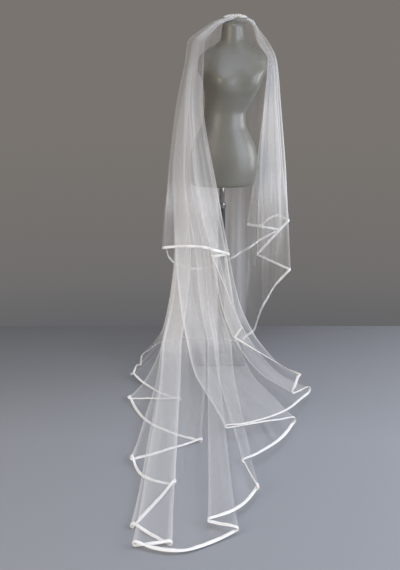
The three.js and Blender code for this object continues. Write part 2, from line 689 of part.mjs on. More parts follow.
// Moves an end column half a seam gap towards the column beside it.
function shiftEnd(column, beside) {
  column.forEach((p, r) => {
    const along = beside[r].clone().sub(p).normalize();
    p.addScaledVector(along, SEAM_GAP / 2);
  });
}

// The ruched roll in front of the gather line.
function addGatherBand() {
  const around = 8;
  const along = 27;
  const points = [];
  for (let i = 0; i < along; i++) {
    const t = (2 * i) / (along - 1) - 1;
    const end = Math.sqrt(Math.max(0.15, 1 - Math.pow(t, 6)));
    const size = end * (i % 2 ? 1.08 : 0.92);
    for (let j = 0; j < around; j++) {
      const angle = (j / around) * 2 * Math.PI;
      const y = BAND.y + BAND.halfDepth * size * Math.cos(angle);
      const z = BAND.z + BAND.halfHeight * size * Math.sin(angle);
      points.push(new THREE.Vector3(BAND.x + BAND.halfLength * t, y, z));
    }
  }
  const triangles = tubeFaces(along, around, points);
  addMesh("gather_band", solid(points, triangles), MATERIALS.tulle);
}

// Faces of a closed tube of rings with a cap at both ends; adds the two middle points.
function tubeFaces(rings, around, points) {
  const triangles = [];
  for (let i = 0; i < rings - 1; i++) {
    for (let j = 0; j < around; j++) {
      const k = (j + 1) % around;
      const [a, b] = [i * around + j, i * around + k];
      triangles.push([a, b, b + around], [a, b + around, a + around]);
    }
  }
  for (const end of [0, rings - 1]) {
    const middle = new THREE.Vector3();
    for (let j = 0; j < around; j++) middle.addScaledVector(points[end * around + j], 1 / around);
    points.push(middle);
    const m = points.length - 1;
    for (let j = 0; j < around; j++) {
      const k = (j + 1) % around;
      const [a, b] = [end * around + j, end * around + k];
      triangles.push(end === 0 ? [m, b, a] : [m, a, b]);
    }
  }
  return triangles;
}

// The dress form: rings of its levels with the bust as two soft swellings.
function addForm() {
  const points = [];
  for (const level of FORM_LEVELS) {
    for (let j = 0; j < FORM_COLUMNS; j++) {
      const angle = (j / FORM_COLUMNS) * 360 - 90;
      const c = Math.cos(radians(angle));
      const s = Math.sin(radians(angle));
      const swell = [-BUST.angle, BUST.angle].reduce((sum, side) => {
        const off = (((angle + 90 - FORM_YAW - side + 540) % 360) - 180) / BUST.spread;
        const up = (level.z - BUST.z) / BUST.high;
        return sum + BUST.depth * Math.exp(-0.5 * off * off) * Math.exp(-0.5 * up * up);
      }, 0);
      const x = level.x + (level.a + swell * 0.55) * c;
      const y = level.y + (level.b + swell) * s;
      points.push(new THREE.Vector3(x, y, level.z));
    }
  }
  const triangles = tubeFaces(FORM_LEVELS.length, FORM_COLUMNS, points);
  addMesh("dress_form", solid(points, triangles), MATERIALS.plastic);
}

function addTube(name, radius, bottom, top, y, material) {
  const geometry = new THREE.CylinderGeometry(radius, radius, top - bottom, TUBE_SIDES);
  geometry.rotateX(Math.PI / 2);
  geometry.translate(0, y, (top + bottom) / 2);
  addMesh(name, geometry, material);
}

function addStand() {
  const shape = new THREE.Shape();
  const [w, d, c] = [BASE.width / 2, BASE.depth / 2, BASE.corner];
  shape.moveTo(-w + c, -d);
  shape.lineTo(w - c, -d);
  shape.absarc(w - c, -d + c, c, -Math.PI / 2, 0);
  shape.absarc(w - c, d - c, c, 0, Math.PI / 2);
  shape.absarc(-w + c, d - c, c, Math.PI / 2, Math.PI);
  shape.absarc(-w + c, -d + c, c, Math.PI, 1.5 * Math.PI);
  const options = { depth: BASE.thickness, bevelEnabled: false, curveSegments: 6 };
  addMesh("base_plate", new THREE.ExtrudeGeometry(shape, options), MATERIALS.steel);
  const y = UPPER_TUBE.y;
  const low = BASE.thickness + SEAM_GAP;
  addTube("lower_tube", LOWER_TUBE.radius, low, LOWER_TUBE.top, y, MATERIALS.steel);
  const collar = LOWER_TUBE.top + SEAM_GAP;
  addTube("collar", COLLAR.radius, collar, collar + COLLAR.height, y, MATERIALS.chrome);
  const upper = collar + COLLAR.height + SEAM_GAP;
  const top = FORM_LEVELS[FORM_LEVELS.length - 1].z - SEAM_GAP;
  addTube("upper_tube", UPPER_TUBE.radius, upper, top, y, MATERIALS.chrome);
}

addStand();
addForm();
addVeil();
addGatherBand();

export default group;
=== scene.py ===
"""Bridal veil on a limbless dress form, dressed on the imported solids.

X runs to the viewer's right, Y away from the viewer and Z up; the origin is on the floor under
the middle of the stand's base plate. Sizes are in mm, those of the studio in metres. The veil is
one sheet of tulle: a closed ring of fold lines that run from a gathered band on the neck cap down
to a satin ribbon at the hem.
"""

import logging
import math
from dataclasses import dataclass, field
from enum import Enum, IntEnum

import bpy
import numpy as np
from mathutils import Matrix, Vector


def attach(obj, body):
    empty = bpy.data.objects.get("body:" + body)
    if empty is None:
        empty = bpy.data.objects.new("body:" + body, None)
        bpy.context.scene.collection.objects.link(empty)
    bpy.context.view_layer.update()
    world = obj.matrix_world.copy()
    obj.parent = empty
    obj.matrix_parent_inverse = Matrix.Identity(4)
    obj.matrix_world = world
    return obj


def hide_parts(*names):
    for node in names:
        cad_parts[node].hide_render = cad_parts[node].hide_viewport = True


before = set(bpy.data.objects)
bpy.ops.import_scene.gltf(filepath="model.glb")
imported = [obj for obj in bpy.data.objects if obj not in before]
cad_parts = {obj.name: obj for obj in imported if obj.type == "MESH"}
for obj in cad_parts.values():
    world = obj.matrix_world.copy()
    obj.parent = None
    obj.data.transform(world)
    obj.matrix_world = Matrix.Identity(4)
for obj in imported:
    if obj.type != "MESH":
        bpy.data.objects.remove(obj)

MM = 0.001
TURN = 2 * math.pi
log = logging.getLogger("veil")
Array = np.ndarray
Span = tuple[float, float]
Piece = bpy.types.Object
Socket = bpy.types.NodeSocket


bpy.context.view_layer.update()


# --- the fold lines' sizes


class Row(IntEnum):
    """Rows of a fold line, from the gathers down to the hem."""

    GATHER = 0
    CROWN = 1
    HORN = 2
    ARM = 3
    BUST = 5
    HIP = 7
    WAIST = 9
    THIGH = 10
    KNEE = 11
    SHIN = 12
    HEM = 21


@dataclass(frozen=True)
class Station:
    """One height of the stack: its row, its lowest layer's place and the way to the next layer."""

    row: Row
    y: float
    z: float
    step: float = 7
    dy: float = -1.0
    dz: float = 0.0

    def on_layer(self, x: float, layer: float) -> tuple:
        """A point of the stack at x on a layer: row, x, y, z."""
        off = self.step * (layer + 1)
        return self.row, x, self.y + self.dy * off, self.z + self.dz * off


HORN, ARM = Station(Row.HORN, 40, 1512), Station(Row.ARM, 40, 1437)
BUST, HIP = Station(Row.BUST, 32, 1262), Station(Row.HIP, -20, 930)
WAIST = Station(Row.WAIST, -60, 575, 6.5)
THIGH = Station(Row.THIGH, -100, 300, 6, -0.95, 0.31)
KNEE = Station(Row.KNEE, -190, 110, 5, -0.62, 0.78)
# The heights that the tables give; the short tier's end at the hip
STATIONS = (HORN, ARM, BUST, HIP, WAIST, KNEE)

# Folds of the stack: name, angle at the neck, x at horn, arm, bust, hip, waist and knee, hem x
# and y, and how far the hem of the face before the fold swings out.
STACK_FOLDS = (
    ("t3", 160, -138, -152, -188, -232, -225, -294, -425, -298, 0),
    ("t4", 163, -118, -130, -161, -194, -163, -218, -195, -532, 15),
    ("t5", 166, -138, -152, -188, -232, -220, -289, -420, -518, 0),
    ("t6", 169, -106, -126, -151, -166, -105, -81, -101, -901, 66),
    ("t7", 172, -138, -152, -183, -226, -219, -289, -361, -1042, 0),
    ("t8", 175, -114, -130, -155, -180, -153, -199, -197, -1212, 46),
    ("t9", 178, -138, -152, -183, -226, -214, -284, -321, -1464, 0),
    ("t10", 181, -115, -130, -155, -179, -152, -195, -198, -1555, 15),
    ("t11", 184, -136, -150, -178, -221, -209, -280, -306, -1567, 0),
    ("t12", 186.5, -124, -142, -168, -190, -162, -195, -172, -1600, 0),
    ("t12b", 189, -112, -133, -157, -158, -112, -105, -52, -1542, 0),
    ("t13", 191.5, -100, -124, -146, -128, -67, -20, 9, -1504, 0),
    ("t14", 194.5, -128, -145, -169, -179, -124, -67, -73, -1464, 0),
    ("t15", 197.5, -98, -120, -141, -123, -53, 41, 91, -1290, 26),
    ("t16", 200.5, -120, -138, -164, -151, -86, -39, 55, -1132, 0),
    ("t17", 203.5, -92, -116, -141, -114, -39, 74, 273, -801, 30),
    ("t18", 206.5, -132, -148, -177, -224, -217, -166, 2, -895, 0),
    ("t19", 209.5, -80, -112, -136, -105, -21, 131, 369, -549, 65),
    ("t20", 212.5, -110, -128, -150, -128, -49, 60, 297, -600, 0),
    ("t21", 215.5, -36, -70, -101, -41, 25, 164, 344, -429, 0),
)

# Folds that end in the air: as above to the waist, then hem x, hem z and layer.
HANGING_FOLDS = (
    ("t22", 218.5, -112, -125, -141, -114, -35, 62, 176, 17.5),
    ("t24", 221.5, -70, -88, -105, -51, 15, 92, 240, 23.5),
    ("s1", 224.5, -110, -122, -136, -119, -60, -48, 572, 24.5),
    ("s0", 227.5, -88, -92, -96, -40, 22, 27, 585, 25.5),
)

# Short tier: name, angle at the neck, then x, y at horn, arm, bust and hip, and the hem's x, y, z.
SHORT_FRONT = (
    ("f3", 224, -108, -153, -121, -153, -147, -161, -104, -210, -50, -244, 608),
    ("f2", 221, -124, -153, -136, -153, -152, -161, -150, -207, -84, -241, 618),
    ("f1", 218, -140, -150, -150, -152, -176, -157, -177, -198, -159, -228, 620),
    ("s2", 214, -154, -140, -163, -142, -196, -144, -239, -174, -274, -192, 604),
)
SHORT_BACK = (
    ("s2c", 192, -160, -45, -170, -40, -208, -25, -252, -30, -272, -20, 560),
    ("s2d", 176, -155, 15, -168, 22, -202, 45, -248, 70, -264, 110, 480),
    ("b2", 159, -130, 72, -145, 88, -172, 112, -215, 155, -235, 222, 417),
    ("b3", 139, -78, 108, -92, 132, -120, 152, -150, 198, -169, 282, 373),
    ("b4", 117, -20, 120, -28, 145, -50, 168, -65, 218, -78, 302, 367),
    ("b5", 95, 35, 123, 32, 148, 25, 172, 20, 224, 22, 305, 401),
    ("b6", 72, 90, 116, 95, 142, 95, 168, 100, 214, 107, 302, 450),
    ("b7", 47, 140, 100, 160, 122, 168, 152, 190, 202, 210, 290, 523),
)
CASCADE = (
    ("r", 27, 192, 78, 232, 96, 252, 122, 290, 172, 308, 270, 584),
    ("s6", 24, 160, 64, 212, 84, 205, 102, 172, 142, 138, 214, 623),
    ("p3a", 21.5, 176, 58, 222, 76, 220, 94, 214, 130, 211, 202, 624),
    ("p3m", 19.5, 184, 53, 228, 70, 232, 88, 235, 120, 237, 180, 655),
    ("p3b", 17.5, 192, 49, 234, 64, 243, 82, 262, 112, 278, 168, 679),
    ("q", 15, 203, 42, 242, 56, 258, 74, 293, 96, 336, 122, 662),
    ("s8", 10, 164, 38, 213, 50, 200, 66, 186, 90, 188, 150, 481),
    ("t1", 3, 206, 20, 240, 28, 265, 45, 302, 50, 342, 50, 429),
)

# Long tier behind the form: as above with waist and knee before the hem.
LONG_BACK = (
    ("t1a", 6, 180, 20, 227, 28, 232, 40, 246, 50, 268, 66, None, None, 274, 82, 336),
    ("t1b", 14, 154, 24, 216, 34, 194, 46, 180, 66, 200, 98, None, None, 214, 112, 202),
    ("t1c", 35, 136, 60, 172, 90, 156, 106, 150, 128, 162, 138, None, None, 178, 145, 70),
    ("t2", 60, 105, 88, 115, 124, 108, 138, 105, 154, 105, 162, 106, 166, 107, 172, 0),
    ("k0", 87, 50, 96, 45, 128, 38, 144, 20, 168, 5, 192, 2, 215, 0, 228, 0),
    ("k1", 108, 0, 92, -30, 120, -45, 140, -75, 160, -85, 182, -96, 208, -100, 222, 0),
    ("k2", 132, -50, 80, -88, 106, -108, 124, -145, 138, -165, 158, -192, 212, -202, 240, 0),
    ("l1", 147, -94, 62, -126, 76, -150, 90, -190, 92, -208, 100, -288, 130, -319, 161, 0),
    ("l2", 152, -118, 52, -142, 58, -170, 62, -216, 50, -216, 40, -300, 30, -404, -17, 0),
    ("l3", 156, -130, 47, -150, 48, -182, 46, -228, 12, -222, -8, -300, -75, -403, -157, 0),
)

# Folds with no pleat in the face before them, single folds, and folds whose face has a middle
PLAIN_FOLDS = ("s2c", "s2d", "t1a", "t1b", "t1c", "t2", "l2", "l3")
SINGLE_FOLDS = ("t12", "t12b")
DIVIDED_FACES = ("t3", "t7", "t11", "t14", "t18", "t22", "s0")


# --- small tools


def lerp(a: Array, b: Array, t: float) -> Array:
    """The value a share t of the way from a to b."""
    return a + (b - a) * t


def rise(values: Array, start: float, length: float) -> Array:
    """0 up to start, then evenly up to 1 over a length, then 1."""
    return np.clip((values - start) / length, 0, 1)


def unit(v: Array) -> Array:
    """Vectors along the last axis, made one long."""
    return v / np.maximum(np.linalg.norm(v, axis=-1, keepdims=True), 1e-12)


def blurred(values: Array, width: int) -> Array:
    """Values round a ring, each made the mean of an odd number of neighbours."""
    half = width // 2
    padded = np.concatenate([values[-half:], values, values[:half]])
    return np.convolve(padded, np.ones(width) / width, mode="valid")


def hermite(t: Array, a: Array, b: Array, leave: Array, arrive: Array) -> Array:
    """The cubic from a to b at a share t that leaves a and arrives at b with these slopes.

    Formula: the four Hermite weights, times both ends and both slopes.
    """
    start = (1 + 2 * t) * (1 - t) ** 2 * a + t * (1 - t) ** 2 * leave
    return start + t * t * (3 - 2 * t) * b + t * t * (t - 1) * arrive


def tangents(at: Array, values: Array) -> Array:
    """Slopes for a cubic through values that never swings past them.

    Formula: the harmonic mean of the slopes on both sides, weighted by their spans, and zero
    where they differ in sign.

    Args:
        at: The places of the values, rising, of length n.
        values: The values, n along the first axis.

    Returns:
        An array of slopes of the same shape as values.
    """
    span = np.diff(at).reshape((-1,) + (1,) * (values.ndim - 1))
    slope = np.diff(values, axis=0) / span
    before, after = slope[:-1], slope[1:]
    w1, w2 = 2 * span[1:] + span[:-1], span[1:] + 2 * span[:-1]
    same = before * after > 0
    safe_before, safe_after = np.where(same, before, 1.0), np.where(same, after, 1.0)
    inner = np.where(same, (w1 + w2) / (w1 / safe_before + w2 / safe_after), 0.0)
    return np.concatenate([slope[:1], inner, slope[-1:]])


def smooth_through(table: Array, where: Array) -> Array:
    """The smooth curve through the rows of a table, read at other places.

    Args:
        table: Places, rising, in its first column and the values in the others.
        where: The places to read.

    Returns:
        The values there, one row for each.
    """
    at, values = table[:, 0], table[:, 1:]
    slopes = tangents(at, values)
    k = np.clip(np.searchsorted(at, where, side="right") - 1, 0, len(at) - 2)
    span = (at[k + 1] - at[k])[:, None]
    t = (where - at[k])[:, None] / span
    return hermite(t, values[k], values[k + 1], span * slopes[k], span * slopes[k + 1])


def soft_noise(x: Array, y: Array, seed: int, waves: int = 5) -> Array:
    """Smooth uneven values from about -1 to 1 over two coordinates.

    Formula: a sum of sine waves of random direction and phase, each a little finer than the last.

    Args:
        x: First coordinate, in units of the largest wave.
        y: Second coordinate, in the same units.
        seed: Picks the waves.
        waves: How many are summed.

    Returns:
        An array of the shape of x and y together.
    """
    finer, fainter, gain = 1.55, 0.72, 1.4
    rng = np.random.default_rng(seed)
    total, weight = np.zeros(np.broadcast(x, y).shape), 0.0
    for i in range(waves):
        angle, phase = rng.uniform(0, TURN, 2)
        along = x * math.cos(angle) + y * math.sin(angle)
        total += fainter**i * np.sin(TURN * finer**i * along + phase)
        weight += fainter**i
    return total / weight * gain


@dataclass(frozen=True)
class Noise:
    """Soft noise over the sheet: its reach along the hem, the rows it spans, and its seed."""

    reach: float
    rows: float
    seed: int

    def over(self, s: Array, t: Array) -> Array:
        """Values at places s along the hem and rows t."""
        return soft_noise(s / self.reach, t / self.rows, self.seed)


@dataclass(frozen=True)
class Wave:
    """Waves across the folds: their length, and how far and how unevenly they drift."""

    length: float
    drift: float
    noise: Noise

    def over(self, s: Array, t: Array) -> Array:
        """Height from -1 to 1 at places s along the hem and rows t."""
        return np.sin(TURN * (s / self.length + self.drift * self.noise.over(s, t)))


# --- the pile on the floor


@dataclass
class Column:
    """One line of points from the gathers to the hem, with the heights it rests at."""

    points: Array
    rest: Array | None = None
    lift: float = 0.0


@dataclass
class Pile:
    """Heights of what lies on the floor, kept in square cells."""

    layer: float = 3.8
    reach: float = 80
    slope: float = 0.25
    cell: float = 12
    left: float = -480
    right: float = 420
    near: float = -1660
    far: float = -120
    floor: float = 1.25
    spare: int = 14
    cuts_across: int = 25
    cuts_down: int = 13
    tops: Array = field(init=False)

    def __post_init__(self) -> None:
        """Lays an empty floor, with a margin of empty cells round it."""
        self.margin = math.ceil(self.reach / self.cell) + self.spare
        self.across = math.ceil((self.right - self.left) / self.cell)
        along = math.ceil((self.far - self.near) / self.cell)
        shape = (along + 4 * self.margin, self.across + 4 * self.margin)
        self.tops = np.full(shape, -np.inf)
        steps = np.arange(-self.margin, self.margin + 1)
        away = self.cell * np.hypot(*np.meshgrid(steps, steps, indexing="ij")) - self.reach
        self.fall = self.layer - self.slope * np.maximum(0, away)

    def cells(self, x: Array, y: Array) -> tuple[Array, Array]:
        """Row and column of the cells at places on the floor."""
        i = np.floor((x - self.left) / self.cell).astype(int) + 2 * self.margin
        j = np.floor((y - self.near) / self.cell).astype(int) + 2 * self.margin
        limit_j, limit_i = np.array(self.tops.shape) - self.margin - 1
        return np.clip(j, self.margin, limit_j), np.clip(i, self.margin, limit_i)

    def rest_height(self, x: Array, y: Array) -> Array:
        """Height at which the next layer rests at places on the floor."""
        m = self.margin
        best = [
            (self.tops[j - m : j + m + 1, i - m : i + m + 1] + self.fall).max()
            for j, i in zip(*self.cells(x, y))
        ]
        return np.maximum(self.floor, np.array(best))

    def lay(self, a: Column, b: Column) -> None:
        """Adds the face between two columns to the pile."""
        t = np.linspace(0, 1, self.cuts_across)[:, None, None]
        s = np.linspace(0, 1, self.cuts_down)[None, :, None]
        rows = np.arange(Row.KNEE, Row.HEM)[None, None, :]

        def on_face(first: Array, second: Array) -> Array:
            """Values of two columns, spread over the face between them."""
            side_a = lerp(first[rows], first[rows + 1], s)
            return lerp(side_a, lerp(second[rows], second[rows + 1], s), t)

        x, y = (on_face(a.points[:, i], b.points[:, i]) for i in range(2))
        top = on_face(a.rest, b.rest)
        j, i = self.cells(x, y)
        inside = (i >= 2 * self.margin) & (i < 2 * self.margin + self.across)
        np.maximum.at(self.tops, (j[inside], i[inside]), top[inside])


# --- the ring of folds


@dataclass
class FoldRing:
    """The fold lines of the veil in their order round the sheet."""

    gather_left: float = 13
    gather_right: float = 101
    hook: float = 30
    gather_radius: float = 8
    gather_z: float = 1616
    gather_half: float = 5
    crown_x: float = 42
    crown_y: float = 4
    crown_inner: float = 88
    crown_outer: float = 102
    crown_inner_z: float = 1582
    crown_outer_z: float = 1589
    crown_turn: float = 0.8
    sweep_left: float = -300
    sweep_right: float = 165
    sweep_y: float = -190
    sweep_length: float = 280
    sweep_rows: tuple[float, ...] = (0, 42, 86, 132, 184, 250)
    sweep_long: float = 500
    thigh_share: float = 0.42
    low_hem: float = 555
    face_width: float = 110
    front_pleat: float = 7
    back_pleat: float = 16
    inner_pleat: float = 7.2
    pleat_rows: float = 8
    turn: float = 9
    front_start: float = 0.005
    shares: tuple[float, ...] = (0.065, 0.34, 0.1, 0.275, 0.22)
    columns: list[Column] = field(default_factory=list)
    turns: list[bool] = field(default_factory=list)
    names: dict[str, int] = field(default_factory=dict)
    pile: Pile = field(default_factory=Pile)

    def push(self, column: Column, name: str = "", turned: bool = False) -> None:
        """Adds a column.

        Args:
            column: The column.
            name: Name of the fold that it starts.
            turned: Whether the sheet doubles back between it and the last one.
        """
        if name:
            self.names[name] = len(self.columns)
        self.columns.append(column)
        self.turns.append(turned)

    def gather_place(self, s: float) -> tuple[float, float]:
        """x and y on the gather line at a distance from its hooked end."""
        arc = math.pi * self.gather_radius
        if s < self.hook:
            return self.gather_left + self.hook - s, -self.gather_radius
        if s < self.hook + arc:
            angle = -math.pi / 2 - (s - self.hook) / self.gather_radius
            x = self.gather_left + self.gather_radius * math.cos(angle)
            return x, self.gather_radius * math.sin(angle)
        return self.gather_left + s - self.hook - arc, self.gather_radius

    def gather_point(self, u: float) -> tuple[float, float, float]:
        """Place on the outline of the gathers, u from 0 along the upper side and back below."""
        half, z = self.gather_half, self.gather_z
        length = self.hook + math.pi * self.gather_radius + self.gather_right - self.gather_left
        arc = math.pi * half
        s = (u % 1) * (2 * length + 2 * arc)

        def end(at: float, angle: float) -> tuple[float, float, float]:
            """A point of the round end at a place of the gather line."""
            x, y = self.gather_place(at)
            return x + half * math.cos(angle), y, z + half * math.sin(angle)

        if s < arc / 2:
            return end(0, s / half)
        s -= arc / 2
        if s < length:
            return (*self.gather_place(s), z + half)
        s -= length
        if s < arc:
            return end(length, math.pi / 2 - s / half)
        s -= arc
        if s < length:
            return (*self.gather_place(length - s), z - half)
        return end(0, -math.pi / 2 + (s - length) / half)

    def top_points(self, u: float, crown: float, radius: float) -> list[tuple]:
        """The gather and crown points of a column, each row, x, y, z.

        Args:
            u: Its place on the outline of the gathers.
            crown: Its angle at the neck, in degrees.
            radius: Its distance from the middle of the neck cap.

        Returns:
            The two points.
        """
        angle = math.radians(crown)
        outward = (radius - self.crown_inner) / (self.crown_outer - self.crown_inner)
        x = self.crown_x + radius * math.cos(angle)
        y = self.crown_y + radius * math.sin(angle)
        z = lerp(self.crown_inner_z, self.crown_outer_z, outward)
        return [(Row.GATHER, *self.gather_point(u)), (Row.CROWN, x, y, z)]

    @staticmethod
    def through(points: list[tuple]) -> Array:
        """All rows of a column from some of its points."""
        return smooth_through(np.array(points, float), np.arange(Row.HEM + 1.0))

    def sweep(self, x: Array, y: Array) -> Array:
        """Share of the knee height left at a place: 1 on the knee line, 0 where all lies down."""
        aside = np.maximum(0, np.maximum(self.sweep_left - x, x - self.sweep_right))
        share = 1 - np.hypot(aside, np.maximum(0, self.sweep_y - y)) / self.sweep_length
        return np.maximum(0, share) ** 2

    def over_pile(self, points: Array, hem: Array | float) -> Column:
        """A column of the stack, let down past the knee on what lies on the floor.

        Args:
            points: Its points.
            hem: x and y of its rows past the knee.

        Returns:
            The column, with the heights it rests at and how high it hangs over them.
        """
        column = Column(points, self.pile.rest_height(points[:, 0], points[:, 1]))
        knee, past = points[Row.KNEE], slice(Row.KNEE + 1, None)
        column.lift = (knee[2] - column.rest[Row.KNEE]) / float(self.sweep(knee[0], knee[1]))
        points[past, :2] = hem
        x, y = points[past, :2].T
        column.rest[past] = self.pile.rest_height(x, y)
        points[past, 2] = column.rest[past] + column.lift * self.sweep(x, y)
        return column

    def shares_of_fold(self, length: float) -> Array:
        """How much of its length on the floor a fold has run, at each row past the knee."""
        rows = Row.HEM - Row.KNEE
        steps = np.arange(1, rows + 1)
        if length < self.sweep_long:
            return steps / rows
        swept = len(self.sweep_rows) - 1
        near = np.array(self.sweep_rows)[np.minimum(steps, swept)] / length
        far = lerp(self.sweep_rows[swept] / length, 1, (steps - swept) / (rows - swept))
        return np.where(steps <= swept, near, far)

    def stack_column(self, u: float, crown: float, fold: tuple, layer: float) -> Column:
        """One column of a fold that hangs on its layer to the knee, then runs out on the floor.

        Args:
            u: Its place on the outline of the gathers.
            crown: Its angle at the neck.
            fold: The fold's row of the table.
            layer: Its layer of the stack.

        Returns:
            The column.
        """
        waist, knee, hem_x, hem_y = fold[6:10]
        points = self.top_points(u, crown, self.crown_inner)
        points += [station.on_layer(x, layer) for station, x in zip(STATIONS[:5], fold[2:7])]
        points.append(THIGH.on_layer(lerp(waist, knee, self.thigh_share), layer))
        points.append(KNEE.on_layer(knee, layer))
        points = self.through([*points, (Row.HEM, hem_x, hem_y, 0)])
        start, hem = points[Row.KNEE, :2].copy(), np.array([hem_x, hem_y], float)
        share = self.shares_of_fold(float(np.linalg.norm(hem - start)))[:, None]
        return self.over_pile(points, lerp(start, hem, share))

    def face_column(self, a: Column, b: Column, share: float, bow: float) -> Column:
        """The column at a share of a face on the floor, its hem swung out by bow."""
        p, q = a.points[Row.HEM], b.points[Row.HEM]
        out = unit(np.array([p[1] - q[1], q[0] - p[0]]))
        out = -out if out[1] > 0 else out
        points = lerp(a.points, b.points, share)
        rows = Row.HEM - Row.KNEE
        grow = (np.arange(1, rows + 1) / rows) ** 3
        swing = bow * math.sin(math.pi * share) * grow[:, None] * out
        return self.over_pile(points, points[Row.KNEE + 1 :, :2] + swing)

    def hanging_column(self, u: float, crown: float, fold: tuple, layer: float) -> Column:
        """One column of a fold of the stack that ends in the air; arguments as in stack_column."""
        waist, hem_x, hem_z = fold[6:9]
        points = self.top_points(u, crown, self.crown_inner)
        points += [station.on_layer(x, layer) for station, x in zip(STATIONS[:4], fold[2:6])]
        if hem_z < self.low_hem:
            thigh = THIGH.on_layer(lerp(waist, hem_x, 0.5), layer)
            knee = KNEE.on_layer(hem_x, layer)
            share = float(np.clip((thigh[3] - hem_z) / (thigh[3] - knee[3]), 0, 1))
            y, z = (lerp(thigh[i], knee[i], share) for i in (2, 3))
            points += [WAIST.on_layer(waist, layer), (Row.SHIN, *thigh[1:])]
            return Column(self.through([*points, (Row.HEM, hem_x, y, z)]))
        y = WAIST.on_layer(hem_x, layer)[2]
        return Column(self.through([*points, (Row.HEM, hem_x, y, hem_z)]))

    def tier_column(
        self, u: float, fold: tuple, radius: float, shift_y: float = 0, crown: float = 0
    ) -> Column:
        """One column of a hanging fold, short or long.

        Args:
            u: Its place on the outline of the gathers.
            fold: The fold's row of its table.
            radius: Its distance from the middle of the neck cap.
            shift_y: How far it lies off the table's place.
            crown: How far it is turned at the neck.

        Returns:
            The column.
        """
        points = self.top_points(u, fold[1] + crown, radius)
        stations = (len(fold) - 5) // 2
        for station, x, y in zip(STATIONS[:stations], fold[2::2], fold[3::2]):
            if x is not None:
                grow = 0.5 if station is HORN else 1
                points.append((station.row, x, y + shift_y * grow, station.z))
        hem_x, hem_y, hem_z = fold[-3:]
        points.append((Row.HEM, hem_x, hem_y + shift_y, max(hem_z, self.pile.floor)))
        return Column(self.through(points))

    def pleat_column(self, a: Column, b: Column, depth: float) -> Column:
        """The middle of two columns, moved along Y by depth at the hem and less above it."""
        points = lerp(a.points, b.points, 0.5)
        points[:, 1] += depth * rise(np.arange(Row.HEM + 1), Row.CROWN, self.pleat_rows)
        return Column(points)

    def places(self, start: float, share: float, folds: tuple) -> zip:
        """Each fold with its place on the gathers."""
        step = share / len(folds)
        return zip(folds, (start + step * (i + 0.5) for i in range(len(folds))))

    def build(self) -> None:
        """Makes all columns, round the sheet and back to the start."""
        front, back, cascade, inner, stack = self.shares
        first = HANGING_FOLDS[-1]
        self.push(self.hanging_column(0, first[1] + self.crown_turn, first, first[-1] + 0.5))
        self.build_panel(self.front_start, front, SHORT_FRONT, self.crown_outer, self.front_pleat)
        self.build_panel(front, back, SHORT_BACK, self.crown_outer, -self.back_pleat)
        self.build_cascade(front + back, cascade)
        start = front + back + cascade
        self.build_panel(start, inner, LONG_BACK, self.crown_inner, -self.inner_pleat)
        self.build_stack(start + inner, stack)
        self.turns[0] = True

    def build_panel(
        self, start: float, share: float, folds: tuple, radius: float, pleat: float
    ) -> None:
        """Folds side by side, with a pleat in the middle of the face before each.

        Args:
            start: Where they start on the gathers.
            share: Their share of the gathers.
            folds: Their table.
            radius: Their distance from the middle of the neck cap.
            pleat: How far the pleats stand off.
        """
        for fold, u in self.places(start, share, folds):
            column = self.tier_column(u, fold, radius)
            depth = 0 if fold[0] in PLAIN_FOLDS else pleat
            self.push(self.pleat_column(self.columns[-1], column, depth))
            self.push(column, fold[0])

    def build_cascade(self, start: float, share: float) -> None:
        """The stacked folds at the right, where the tiers meet."""
        half = share / len(CASCADE) / 4
        outer, turn, shift = self.crown_outer, self.crown_turn, self.turn / 2
        for fold, u in self.places(start, share, CASCADE):
            name = fold[0]
            radius = (outer + self.crown_inner) / 2 if name == "t1" else outer
            middle = self.tier_column(u, fold, radius)
            if name == "r":
                self.push(self.pleat_column(self.columns[-1], middle, 0))
            if name.startswith("p3"):
                self.push(middle)
                continue
            for side in (-1, 1):
                place = {"shift_y": -side * shift, "crown": -side * turn}
                column = self.tier_column(u + side * half, fold, radius, **place)
                self.push(column, name if side < 0 else "", turned=side > 0)

    @staticmethod
    def layer_of(name: str) -> float:
        """Layer of a fold in the stack; from the first to the last each lies one further."""
        if name in SINGLE_FOLDS:
            return 8
        n = int(name[1:])
        return n - 3.5 if n <= 11 else n - 4.5

    def build_stack(self, start: float, share: float) -> None:
        """The folds that run out on the floor, then those that hang beside them."""
        folds = STACK_FOLDS + HANGING_FOLDS
        half = share / len(folds) / 4
        self.columns[-1].rest = np.full(Row.HEM + 1, self.pile.floor)
        for fold, u in self.places(start, share, folds):
            name, on_floor = fold[0], fold in STACK_FOLDS
            make = self.stack_column if on_floor else self.hanging_column
            layer = self.layer_of(name) if on_floor else fold[-1]
            single = name in SINGLE_FOLDS
            off, turn = (0, 0) if single else (0.5, self.crown_turn)
            before = self.columns[-1]
            lower = make(u - half, fold[1] - turn, fold, layer - off)
            width = float(np.linalg.norm(before.points[Row.HEM] - lower.points[Row.HEM]))
            wanted = math.floor(width / self.face_width + 0.5) - 1 if on_floor else 0
            parts = 1 + max(int(name in DIVIDED_FACES), wanted)
            face = [
                self.face_column(before, lower, i / parts, fold[-1])
                if on_floor
                else self.pleat_column(before, lower, 0)
                for i in range(1, parts)
            ]
            for a, b in zip([before, *face], [*face, lower]):
                self.push(b, name if b is lower else "")
                if on_floor:
                    self.pile.lay(a, b)
            if not single and fold is not HANGING_FOLDS[-1]:
                self.push(make(u + half, fold[1] + turn, fold, layer + off), turned=True)


# --- the veil as a fine surface

# How many steps each row of the fold lines is cut into, from the gathers to the hem
ROW_STEPS = (6, 5, 4, 4, 4, 6, 6, 6, 6, 8, 6, 2, 2, 2, 3, 3, 7, 7, 7, 7, 7)
